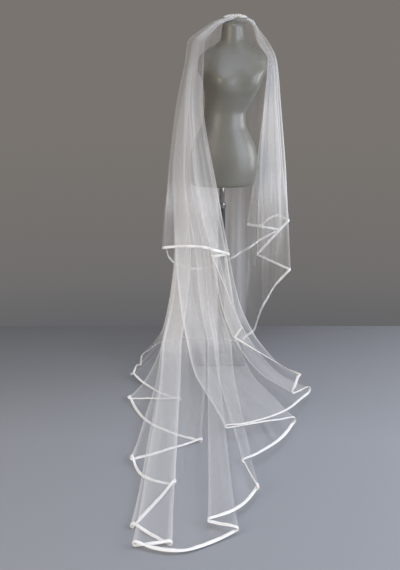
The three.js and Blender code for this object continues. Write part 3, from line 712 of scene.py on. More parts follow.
# Share of the view that one layer hides, by row
COVER_ROWS = (0, 1, 2, 3, 5, 7, 9, 10, 11, 12, 14, 21)
COVER_DOWN = (0.14, 0.06, 0.03, 0.034, 0.048, 0.064, 0.135, 0.16, 0.14, 0.095, 0.068, 0.066)
# The left side of the stack lets more light through: row and x of its outer folds
THIN_SIDE = ((2, -142), (3, -154), (5, -188), (7, -230), (9, -222))
# Parts of the ring by their first fold: share of that cover above the arms and below the waist
COVER_PARTS = (
    ("f3", 4.5, 1.6),
    ("s2", 1.0, 0.7),
    ("s2d", 0.55, 0.6),
    ("b3", 0.9, 0.7),
    ("b6", 1.6, 0.9),
    ("r", 6.0, 1.4),
    ("t1a", 3.8, 1.9),
    ("t1c", 3.4, 2.0),
    ("k0", 3.0, 1.9),
    ("k2", 0.8, 1.0),
    ("t3", 0.5, 1.1),
)
# Soft ridges, listed one by one: fold they start from, offset from it along the hem at their top
# and bottom, rows of top and bottom, width, and height (a trough is negative).
CREASES = (
    ("b2", 60, 110, 2.5, 20, 26, 6),
    ("b2", 190, 150, 4, 21, 20, -5),
    ("b3", 40, 90, 2, 19, 30, 7),
    ("b3", 130, 120, 6, 21, 18, -4),
    ("b4", 20, 60, 3, 21, 24, 6),
    ("b4", 95, 70, 5, 18, 16, -4),
    ("b5", 45, 20, 2, 20, 28, 6),
    ("b5", 90, 110, 7, 21, 17, -4),
    ("b6", 30, 75, 3, 21, 25, 5),
    ("b7", 60, 130, 2.5, 20, 24, 6),
    ("b7", 170, 190, 5, 21, 20, -5),
    ("s2c", 25, 45, 3, 20, 20, 4),
    ("s2d", 40, 60, 4, 21, 22, 4),
    ("f3", 18, 30, 3, 19, 12, 2),
    ("f1", 30, 55, 4, 20, 15, 2.4),
    ("k0", 20, 60, 3, 16, 26, 5),
    ("k1", 50, 40, 4, 18, 24, -5),
    ("k2", 60, 90, 3, 17, 25, 5),
    ("l1", 40, 70, 5, 19, 22, 3),
    ("t3", 90, 60, 12, 21, 30, 1.6),
    ("t5", 150, 260, 12.5, 21, 26, 1.8),
    ("t5", 330, 300, 14, 21, 22, -1.4),
    ("t6", 80, 140, 13, 20.5, 24, 1.6),
    ("t7", 60, 90, 13, 21, 20, 1.5),
    ("t8", 90, 150, 14, 21, 26, 1.7),
    ("t8", 230, 210, 15, 20, 20, -1.3),
    ("t9", 60, 80, 14, 21, 18, 1.3),
    ("t12b", 20, 40, 12, 20.5, 16, 1.6),
    ("t14", 80, 120, 13, 21, 24, 1.8),
    ("t14", 190, 170, 15, 20.5, 20, -1.4),
    ("t16", 120, 190, 12.5, 21, 28, 1.9),
    ("t16", 260, 240, 14, 20, 22, -1.5),
    ("t18", 120, 160, 12, 21, 26, 2),
    ("t18", 280, 330, 13, 21, 30, 1.8),
    ("t18", 400, 380, 14, 20, 20, -1.4),
    ("t20", 60, 90, 12, 21, 20, 1.6),
)


@dataclass
class VeilSurface:
    """The fold lines joined to one smooth, finely divided ring of points.

    A Span says where something starts, mostly a row, and the length in which it grows to full.
    """

    column: float = 14.5
    turn_steps: int = 5
    cloth_end: float = 6
    most_cut: float = 0.8
    least_slant: float = 0.4
    slant_width: int = 5
    hem_roll: float = 5
    roll_rows: Span = (20.6, 0.4)
    roll_size: Noise = Noise(150, 9, 10)
    off_floor: Span = (20, 40)
    curl: float = 9
    curl_uneven: float = 0.35
    curl_reach: float = 42
    curl_bulge: float = 0.7
    curl_below: float = 90
    calm: float = 30
    calm_rows: Span = (0.15, 0.8)
    hem_rows: float = 0.4
    hem_share: float = 0.55
    pleat: Wave = Wave(46, 0.35, Noise(400, 9, 3))
    pleat_size: Noise = Noise(230, 6, 4)
    pleat_hanging: float = 3.4
    pleat_front: float = 0.45
    pleat_stack: float = 1.1
    pleat_floor: float = 0.9
    hanging_rows: Span = (1, 8)
    stack_rows: Span = (1, 4)
    floor_rows: Span = (Row.KNEE, 3)
    fine: Wave = Wave(21, 0.3, Noise(150, 8, 5))
    fine_height: float = 0.5
    gathers: Wave = Wave(60, 0.2, Noise(300, 4, 6))
    gather_height: float = 0.7
    gather_row: float = 1.4
    puff: float = 5
    puff_uneven: float = 1.5
    puff_size: Noise = Noise(90, 1, 9)
    puff_rows: Span = (0, 1.6)
    cover_width: int = 9
    crown_cover: float = 2.5
    crown_rows: Span = (Row.HORN, 1.5)
    blend_rows: Span = (Row.ARM, Row.THIGH - Row.ARM)
    thin_width: float = 42
    thin_share: float = 0.68
    thin_from: Span = (1.2, 0.6)
    thin_to: Span = (8.1, 1.5)
    edge_width: float = 5
    edge_cover: tuple[float, float] = (0.3, 1.3)
    edge_rows: Span = (2, 5)
    ring: FoldRing = field(default_factory=FoldRing)

    def __post_init__(self) -> None:
        """Builds the fold lines and the fine surface through them."""
        self.ring.build()
        points = np.stack([column.points for column in self.ring.columns], axis=1)
        self.across(points, np.array(self.ring.turns))
        self.down()
        self.shape()

    def across(self, coarse: Array, turned: Array) -> None:
        """Divides the faces between the columns.

        Formula: through free columns each row runs as a smooth curve; where the sheet turns over
        it runs as half a circle on the line between the two columns.

        Args:
            coarse: Rows by columns of points.
            turned: Says for each column whether the sheet turns over just before it.
        """
        after = np.roll(coarse, -1, axis=1)
        d = np.maximum(np.linalg.norm(after - coarse, axis=2, keepdims=True), 1e-3)
        e = (after - coarse) / d
        d0, e0 = np.roll(d, 1, axis=1), np.roll(e, 1, axis=1)
        turns = np.roll(turned, -1)
        free = ~(turned | turns)[:, None]
        end_free = np.roll(free, -1, axis=0)
        middle = (e0 * d + e * d0) / (d0 + d)
        next_middle = np.roll(middle, -1, axis=1)
        leave = np.where(free, middle, np.where(end_free, 1.5 * e - 0.5 * next_middle, e))
        arrive = np.where(end_free, next_middle, np.where(free, 1.5 * e - 0.5 * middle, e))
        out = e0 - np.roll(e, -1, axis=1)
        out = unit(out - e * np.sum(out * e, axis=2, keepdims=True))

        steps = np.maximum(2, np.ceil(d[Row.HEM, :, 0] / self.column).astype(int))
        steps[turns] = self.turn_steps
        self.owner = k = np.repeat(np.arange(len(steps)), steps)
        self.in_turn = turns[k]
        t = ((np.arange(len(k)) - (np.cumsum(steps) - steps)[k]) / steps[k])[None, :, None]
        a, b, length = coarse[:, k], after[:, k], d[:, k]
        arc = lerp(a, b, (1 - np.cos(math.pi * t)) / 2)
        arc = arc + out[:, k] * length / 2 * np.sin(math.pi * t)
        curve = hermite(t, a, b, length * leave[:, k], length * arrive[:, k])
        self.rows = np.where(self.in_turn[None, :, None], arc, curve)
        hem = self.rows[Row.HEM]
        step = np.linalg.norm(np.roll(hem, -1, axis=0) - hem, axis=1)
        self.hem_at = np.concatenate([[0], np.cumsum(step)])
        self.open_curls(out)

    def open_curls(self, out: Array) -> None:
        """Lifts the upper side of each turned edge that lies on the floor, so its end stands open.

        Formula: the upper side rises by a bell curve along the hem; between the two sides the
        turned edge rises evenly and bulges outward.

        Args:
            out: Direction in which the turned edge after each column bulges, by row and column.
        """
        hem = self.rows[Row.HEM].copy()
        s, whole = self.hem_at[:-1], self.hem_at[-2]
        for k in np.unique(self.owner[self.in_turn]):
            inside = np.flatnonzero(self.owner == k)
            first, after = inside[0], (inside[-1] + 1) % len(s)
            if hem[first, 2] > self.curl_below:
                continue
            rising = hem[after, 2] > hem[first, 2]
            here = (s[inside] - s[first]) / max(s[after] - s[first], 1e-6)
            ds = s - (s[after] if rising else s[first])
            ds = np.where(ds > whole / 2, ds - whole, np.where(ds < -whole / 2, ds + whole, ds))
            curl = self.curl * (1 + self.curl_uneven * math.sin(2.4 * float(k)))
            lift = curl * np.exp(-((ds / self.curl_reach) ** 2)) * (ds >= 0 if rising else ds <= 0)
            lift[inside] = curl * (here if rising else 1 - here)
            self.rows[Row.HEM, :, 2] += lift
            bulge = self.curl_bulge * curl * np.sin(math.pi * here)
            self.rows[Row.HEM, inside] += out[Row.HEM, k][None, :] * bulge[:, None]

    def down(self) -> None:
        """Divides the columns down to the hem and finds where the cloth ends under the ribbon."""
        slopes = tangents(np.arange(Row.HEM + 1.0), self.rows)
        hem, up = self.rows[Row.HEM], -slopes[Row.HEM]
        self.speed, self.up = np.linalg.norm(up, axis=1), unit(up)
        self.hem_line = unit(np.roll(hem, -1, axis=0) - np.roll(hem, 1, axis=0))
        slant = np.linalg.norm(np.cross(self.up, self.hem_line), axis=1)
        slant = np.maximum(slant, self.least_slant)
        at, flat = self.hem_at[:-1], ~self.in_turn
        slant = np.interp(at, at[flat], slant[flat], period=self.hem_at[-1])
        self.slant = blurred(slant, self.slant_width)
        cut = self.cloth_end / self.slant / np.maximum(self.speed, 1e-3)
        cut = np.minimum(cut, self.most_cut)
        marks = [row + (i + 1) / n for row, n in enumerate(ROW_STEPS) for i in range(n)]
        self.marks = np.array([0.0, *marks])[:, None]
        rows = self.marks - rise(self.marks, Row.HEM - 2, 2) * cut
        k = np.clip(np.floor(rows).astype(int), 0, Row.HEM - 1)
        column = np.arange(len(cut))
        a, b, leave, arrive = (v[at, column] for v in (self.rows, slopes) for at in (k, k + 1))
        self.points = hermite((rows - k)[..., None], a, b, leave, arrive)

    def normals(self) -> Array:
        """Unit normals of the ring's points, to the viewer's side on the front panel."""
        across = np.roll(self.points, -1, axis=1) - np.roll(self.points, 1, axis=1)
        return unit(np.cross(across, np.gradient(self.points, axis=0)))

    def shape(self) -> None:
        """Adds the pleats, the gathers under the band and the listed creases.

        Formula: each point moves along the surface's normal by a sum of uneven waves across the
        fold lines and of the listed ridges, which all die away towards the turned edges.
        """
        s, t = self.hem_at[:-1][None, :], self.marks
        steps = np.linalg.norm(np.diff(self.points, axis=0), axis=2)
        self.down_at = np.concatenate([0 * steps[:1], np.cumsum(steps, axis=0)])
        off = np.abs(s.T - s[:, self.in_turn])
        off = np.minimum(off, self.hem_at[-1] - off).min(axis=1)
        calm = rise(off, 0, self.calm) ** 2
        calm = calm * (3 - 2 * np.sqrt(calm))

        first, owner = self.ring.names, self.owner
        hanging = (owner < first["l3"]) & (owner > 0)
        front = np.where((owner < first["s2"]) & hanging, self.pleat_front, 1.0)
        pleat = self.pleat.over(s, t) * (0.7 + 0.3 * self.pleat_size.over(s, t))
        hang = pleat * self.pleat_hanging + self.fine_height * self.fine.over(s, t)
        hang = hang * rise(t, *self.hanging_rows) * front
        above = self.pleat_stack * rise(t, *self.stack_rows)
        stacked = pleat * lerp(above, self.pleat_floor, rise(t, *self.floor_rows))
        gathers = self.gathers.over(s, t) * self.gather_height
        total = np.where(hanging, hang, stacked) + gathers * np.exp(-((t - self.gather_row) ** 2))
        for crease in CREASES:
            total = total + self.ridge(crease, s, t)
        near_hem = np.clip((Row.HEM - t) / self.hem_rows, self.hem_share, 1)
        total = total * calm * rise(t, *self.calm_rows) * near_hem
        self.points = self.points + self.normals() * total[..., None]

        roll = rise(t, *self.roll_rows) ** 2 * self.hem_roll
        roll = roll * (0.8 + 0.5 * self.roll_size.over(s, t))
        puff = self.puff + self.puff_uneven * self.puff_size.over(s, t)
        puff = puff * np.sin(math.pi * rise(t, *self.puff_rows)) ** 2
        on_floor = 1 - rise(self.rows[Row.HEM, :, 2], *self.off_floor)
        z = self.points[..., 2] + roll * on_floor + puff
        self.points[..., 2] = np.maximum(z, self.ring.pile.floor)
        self.cover = self.cover_of(t, off)

    def cover_of(self, t: Array, off: Array) -> Array:
        """How much of the view one layer of net hides, at every point.

        Formula: a curve down the rows, times a share for each part of the ring, times more along
        the turned edges and less down the stack's left side.

        Args:
            t: Rows, with shares of a row.
            off: Distance of every column from the nearest turned edge, along the hem.

        Returns:
            Values for rows by columns.
        """
        starts = [self.ring.names[part[0]] for part in COVER_PARTS]
        index = np.clip(np.searchsorted(starts, self.owner, side="right") - 1, 0, None)
        parts = np.array([part[1:] for part in COVER_PARTS])[index]
        high, low = (blurred(column, self.cover_width) for column in parts.T)
        high = lerp(np.minimum(high, self.crown_cover), high, rise(t, *self.crown_rows))
        share = lerp(high, low, rise(t, *self.blend_rows))
        rows, left = np.array(THIN_SIDE).T
        aside = (self.points[..., 0] - np.interp(t, rows, left)) / self.thin_width
        aside = np.exp(-(aside**2)) * rise(t, *self.thin_from) * (1 - rise(t, *self.thin_to))
        thin = 1 - self.thin_share * aside * (self.owner >= self.ring.names["k2"])
        edge = lerp(*self.edge_cover, rise(t, *self.edge_rows))
        edge = edge * np.exp(-((off / self.edge_width) ** 2))
        return np.interp(t, COVER_ROWS, COVER_DOWN) * share * thin * (1 + edge)

    def ridge(self, crease: tuple, s: Array, t: Array) -> Array:
        """Height of one listed crease over the whole ring.

        Formula: a bell curve across the line from top to bottom, times a soft window down it.

        Args:
            crease: Its row of the table.
            s: Places along the hem.
            t: Rows, with shares of a row.

        Returns:
            Heights for rows by columns.
        """
        fold, start, end, top, bottom, width, height = crease
        base = self.hem_at[np.flatnonzero(self.owner == self.ring.names[fold])[0]]
        share = rise(t, top, bottom - top)
        off = (s - base - lerp(start, end, share)) / width
        return height * np.exp(-(off**2)) * np.sin(math.pi * share) ** 0.7


# --- meshes and materials


def linear(code: str) -> tuple[float, float, float, float]:
    """A hex colour as linear light with full alpha."""
    values = (int(code[i : i + 2], 16) / 255 for i in (1, 3, 5))
    return (*(v / 12.92 if v <= 0.04045 else ((v + 0.055) / 1.055) ** 2.4 for v in values), 1.0)


def show(name: str, data: bpy.types.ID) -> Piece:
    """Puts data into the scene as a new object."""
    thing = bpy.data.objects.new(name, data)
    bpy.context.scene.collection.objects.link(thing)
    return thing


def make_piece(
    name: str,
    points: Array,
    quads: Array,
    uv: Array | None = None,
    cover: Array | None = None,
    triangles: Array | None = None,
) -> Piece:
    """A smooth object from points in mm.

    Args:
        name: The object's name.
        points: Its points, one a row.
        quads: Its four-cornered faces, as places in points.
        uv: A pair in mm for each corner of the quads.
        cover: How much of the view its cloth hides, one number for each point.
        triangles: Its three-cornered faces.

    Returns:
        The new object, in the scene.
    """
    mesh = bpy.data.meshes.new(name)
    faces = [quads] if triangles is None else [quads, triangles]
    at = np.concatenate([part.reshape(-1) for part in faces])
    sizes = np.concatenate([np.full(*part.shape) for part in faces])
    mesh.vertices.add(len(points))
    mesh.vertices.foreach_set("co", (points * MM).astype(np.float32).ravel())
    mesh.loops.add(len(at))
    mesh.loops.foreach_set("vertex_index", at.astype(np.int32))
    mesh.polygons.add(len(sizes))
    mesh.polygons.foreach_set("loop_start", (np.cumsum(sizes) - sizes).astype(np.int32))
    if uv is not None:
        layer = mesh.uv_layers.new(name="UVMap")
        layer.data.foreach_set("uv", (uv * MM).astype(np.float32).ravel())
    if cover is not None:
        attribute = mesh.attributes.new("cover", "FLOAT", "POINT")
        attribute.data.foreach_set("value", cover.astype(np.float32).ravel())
    mesh.update(calc_edges=True)
    mesh.validate()
    mesh.polygons.foreach_set("use_smooth", np.ones(len(mesh.polygons), bool))
    return show(name, mesh)


def ring_quads(rows: int, columns: int, closed_rows: bool = False) -> Array:
    """Faces of a grid of points stored row after row, its last column joined to the first.

    Args:
        rows: How many rows there are.
        columns: How many columns there are.
        closed_rows: Whether the last row joins the first.

    Returns:
        Faces as places in the grid, four a row.
    """
    r = np.arange(rows if closed_rows else rows - 1)
    r, c = np.meshgrid(r, np.arange(columns), indexing="ij")
    r1, c1 = (r + 1) % rows, (c + 1) % columns
    at = ((r, c), (r1, c), (r1, c1), (r, c1))
    return np.stack([i * columns + j for i, j in at], axis=-1).reshape(-1, 4)


def make_closed(
    name: str, x: Array, y: Array, z: Array, dome: float = 0.0, sharp: float = 180.0
) -> Piece:
    """A closed body from outlines laid one on the other, its ends closed to their middles.

    Args:
        name: The object's name.
        x: x of the points, outlines by places round them.
        y: y of the points.
        z: z of the points.
        dome: How far the last middle stands up.
        sharp: The angle in degrees from which an edge stays hard.

    Returns:
        The new object.
    """
    outlines = np.stack(np.broadcast_arrays(x, y, z), axis=-1)
    rows, columns = outlines.shape[:2]
    middles = outlines[[0, -1]].mean(axis=1) + np.array([[0, 0, 0], [0, 0, dome]])
    j = np.arange(columns)
    k, tip, last = (j + 1) % columns, 0 * j + rows * columns, (rows - 1) * columns
    fans = [np.stack([tip, k, j], -1), np.stack([tip + 1, last + j, last + k], -1)]
    points = np.concatenate([outlines.reshape(-1, 3), middles])
    quads = ring_quads(rows, columns)[:, ::-1]
    piece = make_piece(name, points, quads, triangles=np.concatenate(fans))
    if sharp < 180:
        piece.data.set_sharp_from_angle(angle=math.radians(sharp))
    return piece


class Slot(str, Enum):
    """Names of the part's finishes in its record."""

    TULLE = "tulle"
    RIBBON = "ribbon"
    PLASTIC = "form_plastic"
    CHROME = "chrome"
    DARK = "dark_tube"
    STEEL = "steel"


class Nodes:
    """A short way to lay out the nodes of a material or a world."""

    def __init__(self, tree: bpy.types.NodeTree) -> None:
        """Keeps the tree that holds the nodes."""
        self.tree = tree

    def add(self, kind: str, settings: dict | None = None, **inputs: object) -> bpy.types.Node:
        """Adds a node.

        Args:
            kind: The node's type.
            settings: Its own properties by name.
            **inputs: Its sockets by name with _ for a blank, each a number, a colour or a socket;
                in_0 and the like name a socket by its place.

        Returns:
            The node.
        """
        node = self.tree.nodes.new(kind)
        for key, value in (settings or {}).items():
            setattr(node, key, value)
        for key, value in inputs.items():
            place = int(key[3:]) if key.startswith("in_") else key.replace("_", " ")
            if isinstance(value, Socket):
                self.tree.links.new(value, node.inputs[place])
            else:
                node.inputs[place].default_value = value
        return node

    def ramp(self, factor: Socket, *stops: tuple) -> Socket:
        """A colour ramp through hex colours at places from 0 to 1."""
        node = self.add("ShaderNodeValToRGB", Fac=factor)
        elements = node.color_ramp.elements
        for i, (place, code) in enumerate(stops):
            element = elements[i] if i < 2 else elements.new(place)
            element.position, element.color = place, linear(code)
        return node.outputs[0]

    def math(self, operation: str, *values: object) -> Socket:
        """A sum, product or the like of numbers and sockets."""
        inputs = {f"in_{i}": v for i, v in enumerate(values)}
        return self.add("ShaderNodeMath", {"operation": operation}, **inputs).outputs[0]

    def scaled(self, source: str, scale: tuple[float, float, float]) -> Socket:
        """Texture coordinates in metres times a scale; source is Object or UV."""
        place = self.add("ShaderNodeTexCoord").outputs[source]
        return self.add("ShaderNodeMapping", Vector=place, Scale=scale).outputs[0]

    def noise(self, source: str, scale: tuple, detail: float) -> Socket:
        """Soft noise over scaled texture coordinates."""
        place = self.scaled(source, scale)
        return self.add("ShaderNodeTexNoise", Vector=place, Scale=1.0, Detail=detail).outputs[0]

    def remap(
        self, value: Socket, low: float, high: float, start: float = 0, end: float = 1
    ) -> Socket:
        """A value carried from the range start to end onto the range low to high."""
        ends = {"From_Min": start, "From_Max": end, "To_Min": low, "To_Max": high}
        return self.add("ShaderNodeMapRange", Value=value, **ends).outputs[0]

    def bump(self, height: Socket, share: float, depth: float) -> Socket:
        """Relief from a height, a share of its depth in metres."""
        return self.add("ShaderNodeBump", Height=height, Strength=share, Distance=depth).outputs[0]


@dataclass(frozen=True)
class Look:
    """A finish: one Principled shader whose inputs a subclass lays out."""

    name: str
    light: str
    dark: str

    def inputs(self, n: Nodes) -> dict[str, object]:
        """The shader's inputs by name, with the nodes behind them."""
        raise NotImplementedError

    def shades(self, n: Nodes, factor: Socket) -> Socket:
        """The finish's two shades, by a factor."""
        return n.ramp(factor, (0.3, self.dark), (0.7, self.light))

    def build(self) -> bpy.types.Material:
        """Makes the material, once for all pieces that share it."""
        if self.name in bpy.data.materials:
            return bpy.data.materials[self.name]
        material = bpy.data.materials.new(self.name)
        material.use_nodes = True
        n = Nodes(material.node_tree)
        n.tree.nodes.clear()
        shader = n.add("ShaderNodeBsdfPrincipled", **self.inputs(n))
        n.add("ShaderNodeOutputMaterial", Surface=shader.outputs[0])
        return material


@dataclass(frozen=True)
class Tulle(Look):
    """Soft net: uneven streaks along the fold lines, over a fine net of thread."""

    name: str = "tulle net"
    light: str = "#FBFAF8"
    dark: str = "#F0EFED"
    most: float = 0.9
    net: float = 1.6

    def inputs(self, n: Nodes) -> dict[str, object]:
        """The cloth's UV map runs in metres along the hem and down the fold lines.

        Noise drawn out along the fold lines makes the streaks in which gathered net looks thick
        and thin; the cell edges are its threads; net seen along its face closes up, which is its
        sheen.
        """
        broad, thin = n.noise("UV", (11, 0.5, 1), 3.0), n.noise("UV", (70, 0.8, 1), 2.0)
        streak = n.math("ADD", n.math("MULTIPLY", broad, 0.75), n.math("MULTIPLY", thin, 0.3))
        cells = n.add(
            "ShaderNodeTexVoronoi",
            {"feature": "DISTANCE_TO_EDGE"},
            Vector=n.scaled("UV", (1 / self.net / MM, 1 / self.net / MM, 1)),
            Scale=1.0,
            Randomness=0.35,
        )
        cover = n.add("ShaderNodeAttribute", {"attribute_name": "cover"}).outputs["Fac"]
        facing = n.add("ShaderNodeLayerWeight", Blend=0.42).outputs["Facing"]
        factors = (
            n.remap(streak, 0.5, 1.6, 0.38, 0.68),
            n.remap(cells.outputs["Distance"], 1.18, 0.84, 0, 0.3),
            n.remap(facing, 0.95, 2.0, 0.1, 0.95),
        )
        for factor in factors:
            cover = n.math("MULTIPLY", cover, factor)
        return {
            "Base_Color": self.shades(n, broad),
            "Alpha": n.math("MINIMUM", cover, self.most),
            "Roughness": 0.75,
            "Sheen_Weight": 0.35,
            "Sheen_Roughness": 0.4,
            "Specular_IOR_Level": 0.25,
        }


@dataclass(frozen=True)
class Satin(Look):
    """Woven satin ribbon: a soft gloss with fine ribs across it."""

    name: str = "satin ribbon"
    light: str = "#FFFFFE"
    dark: str = "#F6F3EE"

    def inputs(self, n: Nodes) -> dict[str, object]:
        """Ribs of the weave across the ribbon, slow changes of shade and gloss along it."""
        slow, place = n.noise("UV", (22, 60, 1), 2.0), n.scaled("UV", (900, 40, 1))
        rib = n.add("ShaderNodeTexWave", {"wave_type": "BANDS"}, Vector=place, Scale=0.5)
        return {
            "Base_Color": self.shades(n, slow),
            "Roughness": n.remap(slow, 0.28, 0.5),
            "Normal": n.bump(rib.outputs[0], 0.15, 0.0002),
            "Sheen_Weight": 0.25,
        }


@dataclass(frozen=True)
class GatheredTulle(Look):
    """Tulle drawn up so tightly that it looks almost solid."""

    name: str = "gathered tulle"
    light: str = "#F4F2EE"
    # The dark shade is painted shade in the folds of the roll.
    dark: str = "#CFCCC6"

    def inputs(self, n: Nodes) -> dict[str, object]:
        """Thin folds across the roll give its relief and change its cover; the darker colour in
        their valleys is painted shade.
        """
        # The fold noise drives the relief, the cover and the painted shade in the colour.
        fold = n.noise("Object", (420, 60, 60), 3.0)
        return {
            "Base_Color": self.shades(n, fold),
            "Alpha": n.remap(fold, 0.72, 1.0),
            "Roughness": 0.75,
            "Sheen_Weight": 0.3,
            "Normal": n.bump(fold, 0.5, 0.001),
        }


@dataclass(frozen=True)
class Finish(Look):
    """A hard surface with cloudy shade and fine marks drawn out along one direction."""

    metal: float
    smooth: float
    rough: float
    scale: tuple[float, float, float]
    depth: float
    coat: float = 0.0

    def inputs(self, n: Nodes) -> dict[str, object]:
        """Clouds change the shade; finer noise changes gloss and the smallest relief."""
        marks = n.noise("Object", self.scale, 4.0)
        return {
            "Base_Color": self.shades(n, n.noise("Object", (9, 9, 9), 3.0)),
            "Metallic": self.metal,
            "Roughness": n.remap(marks, self.smooth, self.rough),
            "Normal": n.bump(marks, 0.2, self.depth),
            "Coat_Weight": self.coat,
            "Coat_Roughness": 0.12,
        }


@dataclass(frozen=True)
class Floor(Look):
    """A floor in floor paint, its colour darkened towards the wall as painted shade; near and far
    in metres along Y.
    """

    name: str = "painted floor"
    light: str = "#9DA0A5"
    dark: str = "#7C7E82"
    near: float = -0.9
    far: float = 0.42

    def inputs(self, n: Nodes) -> dict[str, object]:
        """The shade follows the distance, darker towards the wall as painted shade, with faint
        clouds.
        """
        place = n.add("ShaderNodeSeparateXYZ", Vector=n.scaled("Object", (1, 1, 1))).outputs[1]
        clouds = n.math("MULTIPLY", n.noise("Object", (1.2, 1.2, 1.2), 4.0), 0.06)
        # Painted shade: the colour runs from the near shade to the darker far shade at the wall.
        share = n.math("ADD", n.remap(place, 0, 0.94, self.far, self.near), clouds)
        shade = n.ramp(share, (0.05, self.dark), (0.95, self.light))
        return {"Base_Color": shade, "Roughness": 0.55}


PLASTIC = Finish(
    "moulded plastic", "#76746A", "#6E6C63", 0.0, 0.34, 0.44, (90, 90, 90), 0.0001, 0.15
)
CHROME = Finish("chrome plate", "#A7A4A0", "#8F8C88", 1.0, 0.1, 0.24, (600, 600, 12), 0.00002)
DARK_PAINT = Finish(
    "dark painted tube", "#2E3032", "#1F2123", 0.4, 0.3, 0.5, (300, 300, 300), 0.00005
)
BRUSHED = Finish(
    "brushed steel plate", "#8F9498", "#7D8286", 0.7, 0.28, 0.46, (10, 700, 60), 0.00004
)


def dress(piece: Piece, look: Look, slot: Slot, *nodes: str) -> Piece:
    """Gives a piece its material and place on the part, and hides the nodes it replaces.

    Args:
        piece: The piece.
        look: Its finish.
        slot: Not used.
        *nodes: The nodes of the part it replaces.

    Returns:
        The piece.
    """
    piece.data.materials.append(look.build())
    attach(piece, "root")
    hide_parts(*nodes)
    log.info("%s: %d faces, %s", piece.name, len(piece.data.polygons), look.name)
    return piece


# --- the sub-assemblies

VEIL_NODES = (
    "short_tier_front",
    "short_tier_back",
    "right_cascade",
    "long_tier_back",
    "train_left_side",
    "train_left",
    "train_middle",
    "train_right",
    "train_right_side",
    "left_cascade",
)
# Half the ribbon's section: share of its width, share of its half thickness
RIBBON_SECTION = ((0.0, 0.0), (0.08, 0.75), (0.35, 1.0), (0.65, 1.0), (0.93, 0.8), (1.0, 0.0))


@dataclass
class Band:
    """The ruched roll over the gather line."""

    x: float = 53
    y: float = 0
    z: float = 1624
    half_length: float = 52
    half_depth: float = 12
    half_height: float = 8.5
    droop: float = 4
    ruches: int = 9
    along: int = 200
    around: int = 28

    def build(self) -> Piece:
        """Makes the roll.

        Formula: an oval section along X whose size swells and shrinks with every ruche and drops
        to a small round end.

        Returns:
            The piece.
        """
        t = np.linspace(-1, 1, self.along)[:, None]
        around = np.linspace(0, TURN, self.around, endpoint=False)[None, :]
        end = np.sqrt(np.maximum(0.06, 1 - np.abs(t) ** 3))
        ruche = math.pi * self.ruches * t
        drift = 0.9 * np.sin(around + 3 * t) + 1.6 * soft_noise(t * 3, around / 6, 12)
        fine = np.sin(2.7 * ruche + 1.7 * np.sin(around * 2))
        uneven = 0.1 * soft_noise(t * 2, around / 9, 13)
        grow = end * (1 + 0.13 * np.sin(ruche + drift) + 0.05 * fine + uneven)
        y = self.y + self.half_depth * grow * np.cos(around)
        z = self.z - self.droop * t**2 + self.half_height * grow * np.sin(around)
        x = self.x + self.half_length * t
        piece = make_closed("ruched_band", x, y[:, ::-1], z[:, ::-1])
        return dress(piece, GatheredTulle(), Slot.TULLE, "gather_band")


@dataclass
class Veil:
    """The sheet of tulle, its ribbon and the ruched band at its top."""

    ribbon_width: float = 12
    ribbon_half: float = 0.8
    ribbon_ripple: float = 0.175
    ripple_reach: float = 45
    ribbon_floor: float = 0.45
    ribbon_most: float = 0.85
    flat_width: float = 2000
    flat_length: float = 4400
    flat_share: float = 0.785
    surface: VeilSurface = field(default_factory=VeilSurface)
    band: Band = field(default_factory=Band)

    def build(self) -> None:
        """Makes the three pieces."""
        ribbon = self.build_ribbon()
        sheet = self.build_sheet()
        log.info("hem of the sheet: %.2f m", self.surface.hem_at[-1] * MM)
        self.band.build()

    def corner_uv(self, rows: Array) -> Array:
        """UV in mm for the corners of ring_quads: along the hem, and down or round by rows."""
        u0, u1 = self.surface.hem_at[:-1], self.surface.hem_at[1:]
        after = np.roll(rows, -1, axis=1)
        u = np.stack([u0, u0, u1, u1], axis=-1)
        v = np.stack([rows[:-1], rows[1:], after[1:], after[:-1]], axis=-1)
        return np.stack(np.broadcast_arrays(u, v), axis=-1).reshape(-1, 4, 2)

    def build_sheet(self) -> Piece:
        """The tulle, from the gathers to the middle of the ribbon."""
        s = self.surface
        quads = ring_quads(*s.points.shape[:2])
        uv = self.corner_uv(s.down_at)
        piece = make_piece("veil_tulle", s.points.reshape(-1, 3), quads, uv, s.cover)
        return dress(piece, Tulle(), Slot.TULLE, *VEIL_NODES)

    def build_ribbon(self) -> Piece:
        """The ribbon, folded over the edge of the sheet.

        Formula: a flat oval section, carried along the hem, as wide as the ribbon measured square
        to the hem.

        Returns:
            The piece.
        """
        s = self.surface
        hem, last = s.rows[Row.HEM], s.points[-1]
        inward = unit(lerp(s.up, unit(s.points[-3] - last), 0.5))
        normal = unit(np.cross(s.hem_line, -inward))
        width = np.minimum(self.ribbon_width / s.slant, self.ribbon_most * s.speed)
        at = s.hem_at[:-1] / self.ripple_reach
        ripple = self.ribbon_ripple * soft_noise(at, 0 * at, 8)
        lower = ((out, -off) for out, off in RIBBON_SECTION[-2:0:-1])
        out, off = np.array((*RIBBON_SECTION, *lower)).T[:, :, None]
        shift = last - (hem + s.up * (s.cloth_end / s.slant)[:, None])
        points = hem + inward * (out * width)[..., None]
        points = points + normal * (off * self.ribbon_half + ripple)[..., None]
        points = points + shift * rise(2 * out, 0, 1)[..., None]
        points[..., 2] = np.maximum(points[..., 2], self.ribbon_floor)
        rows, columns = points.shape[:2]
        round_at = np.linspace(0, 2 * self.ribbon_width, rows + 1)[:, None]
        uv = self.corner_uv(np.repeat(round_at, columns, axis=1))[:, ::-1]
        quads = ring_quads(rows, columns, closed_rows=True)[:, ::-1]
        piece = make_piece("veil_ribbon", points.reshape(-1, 3), quads, uv)
        return dress(piece, Satin(), Slot.RIBBON, *(name + "_ribbon" for name in VEIL_NODES))


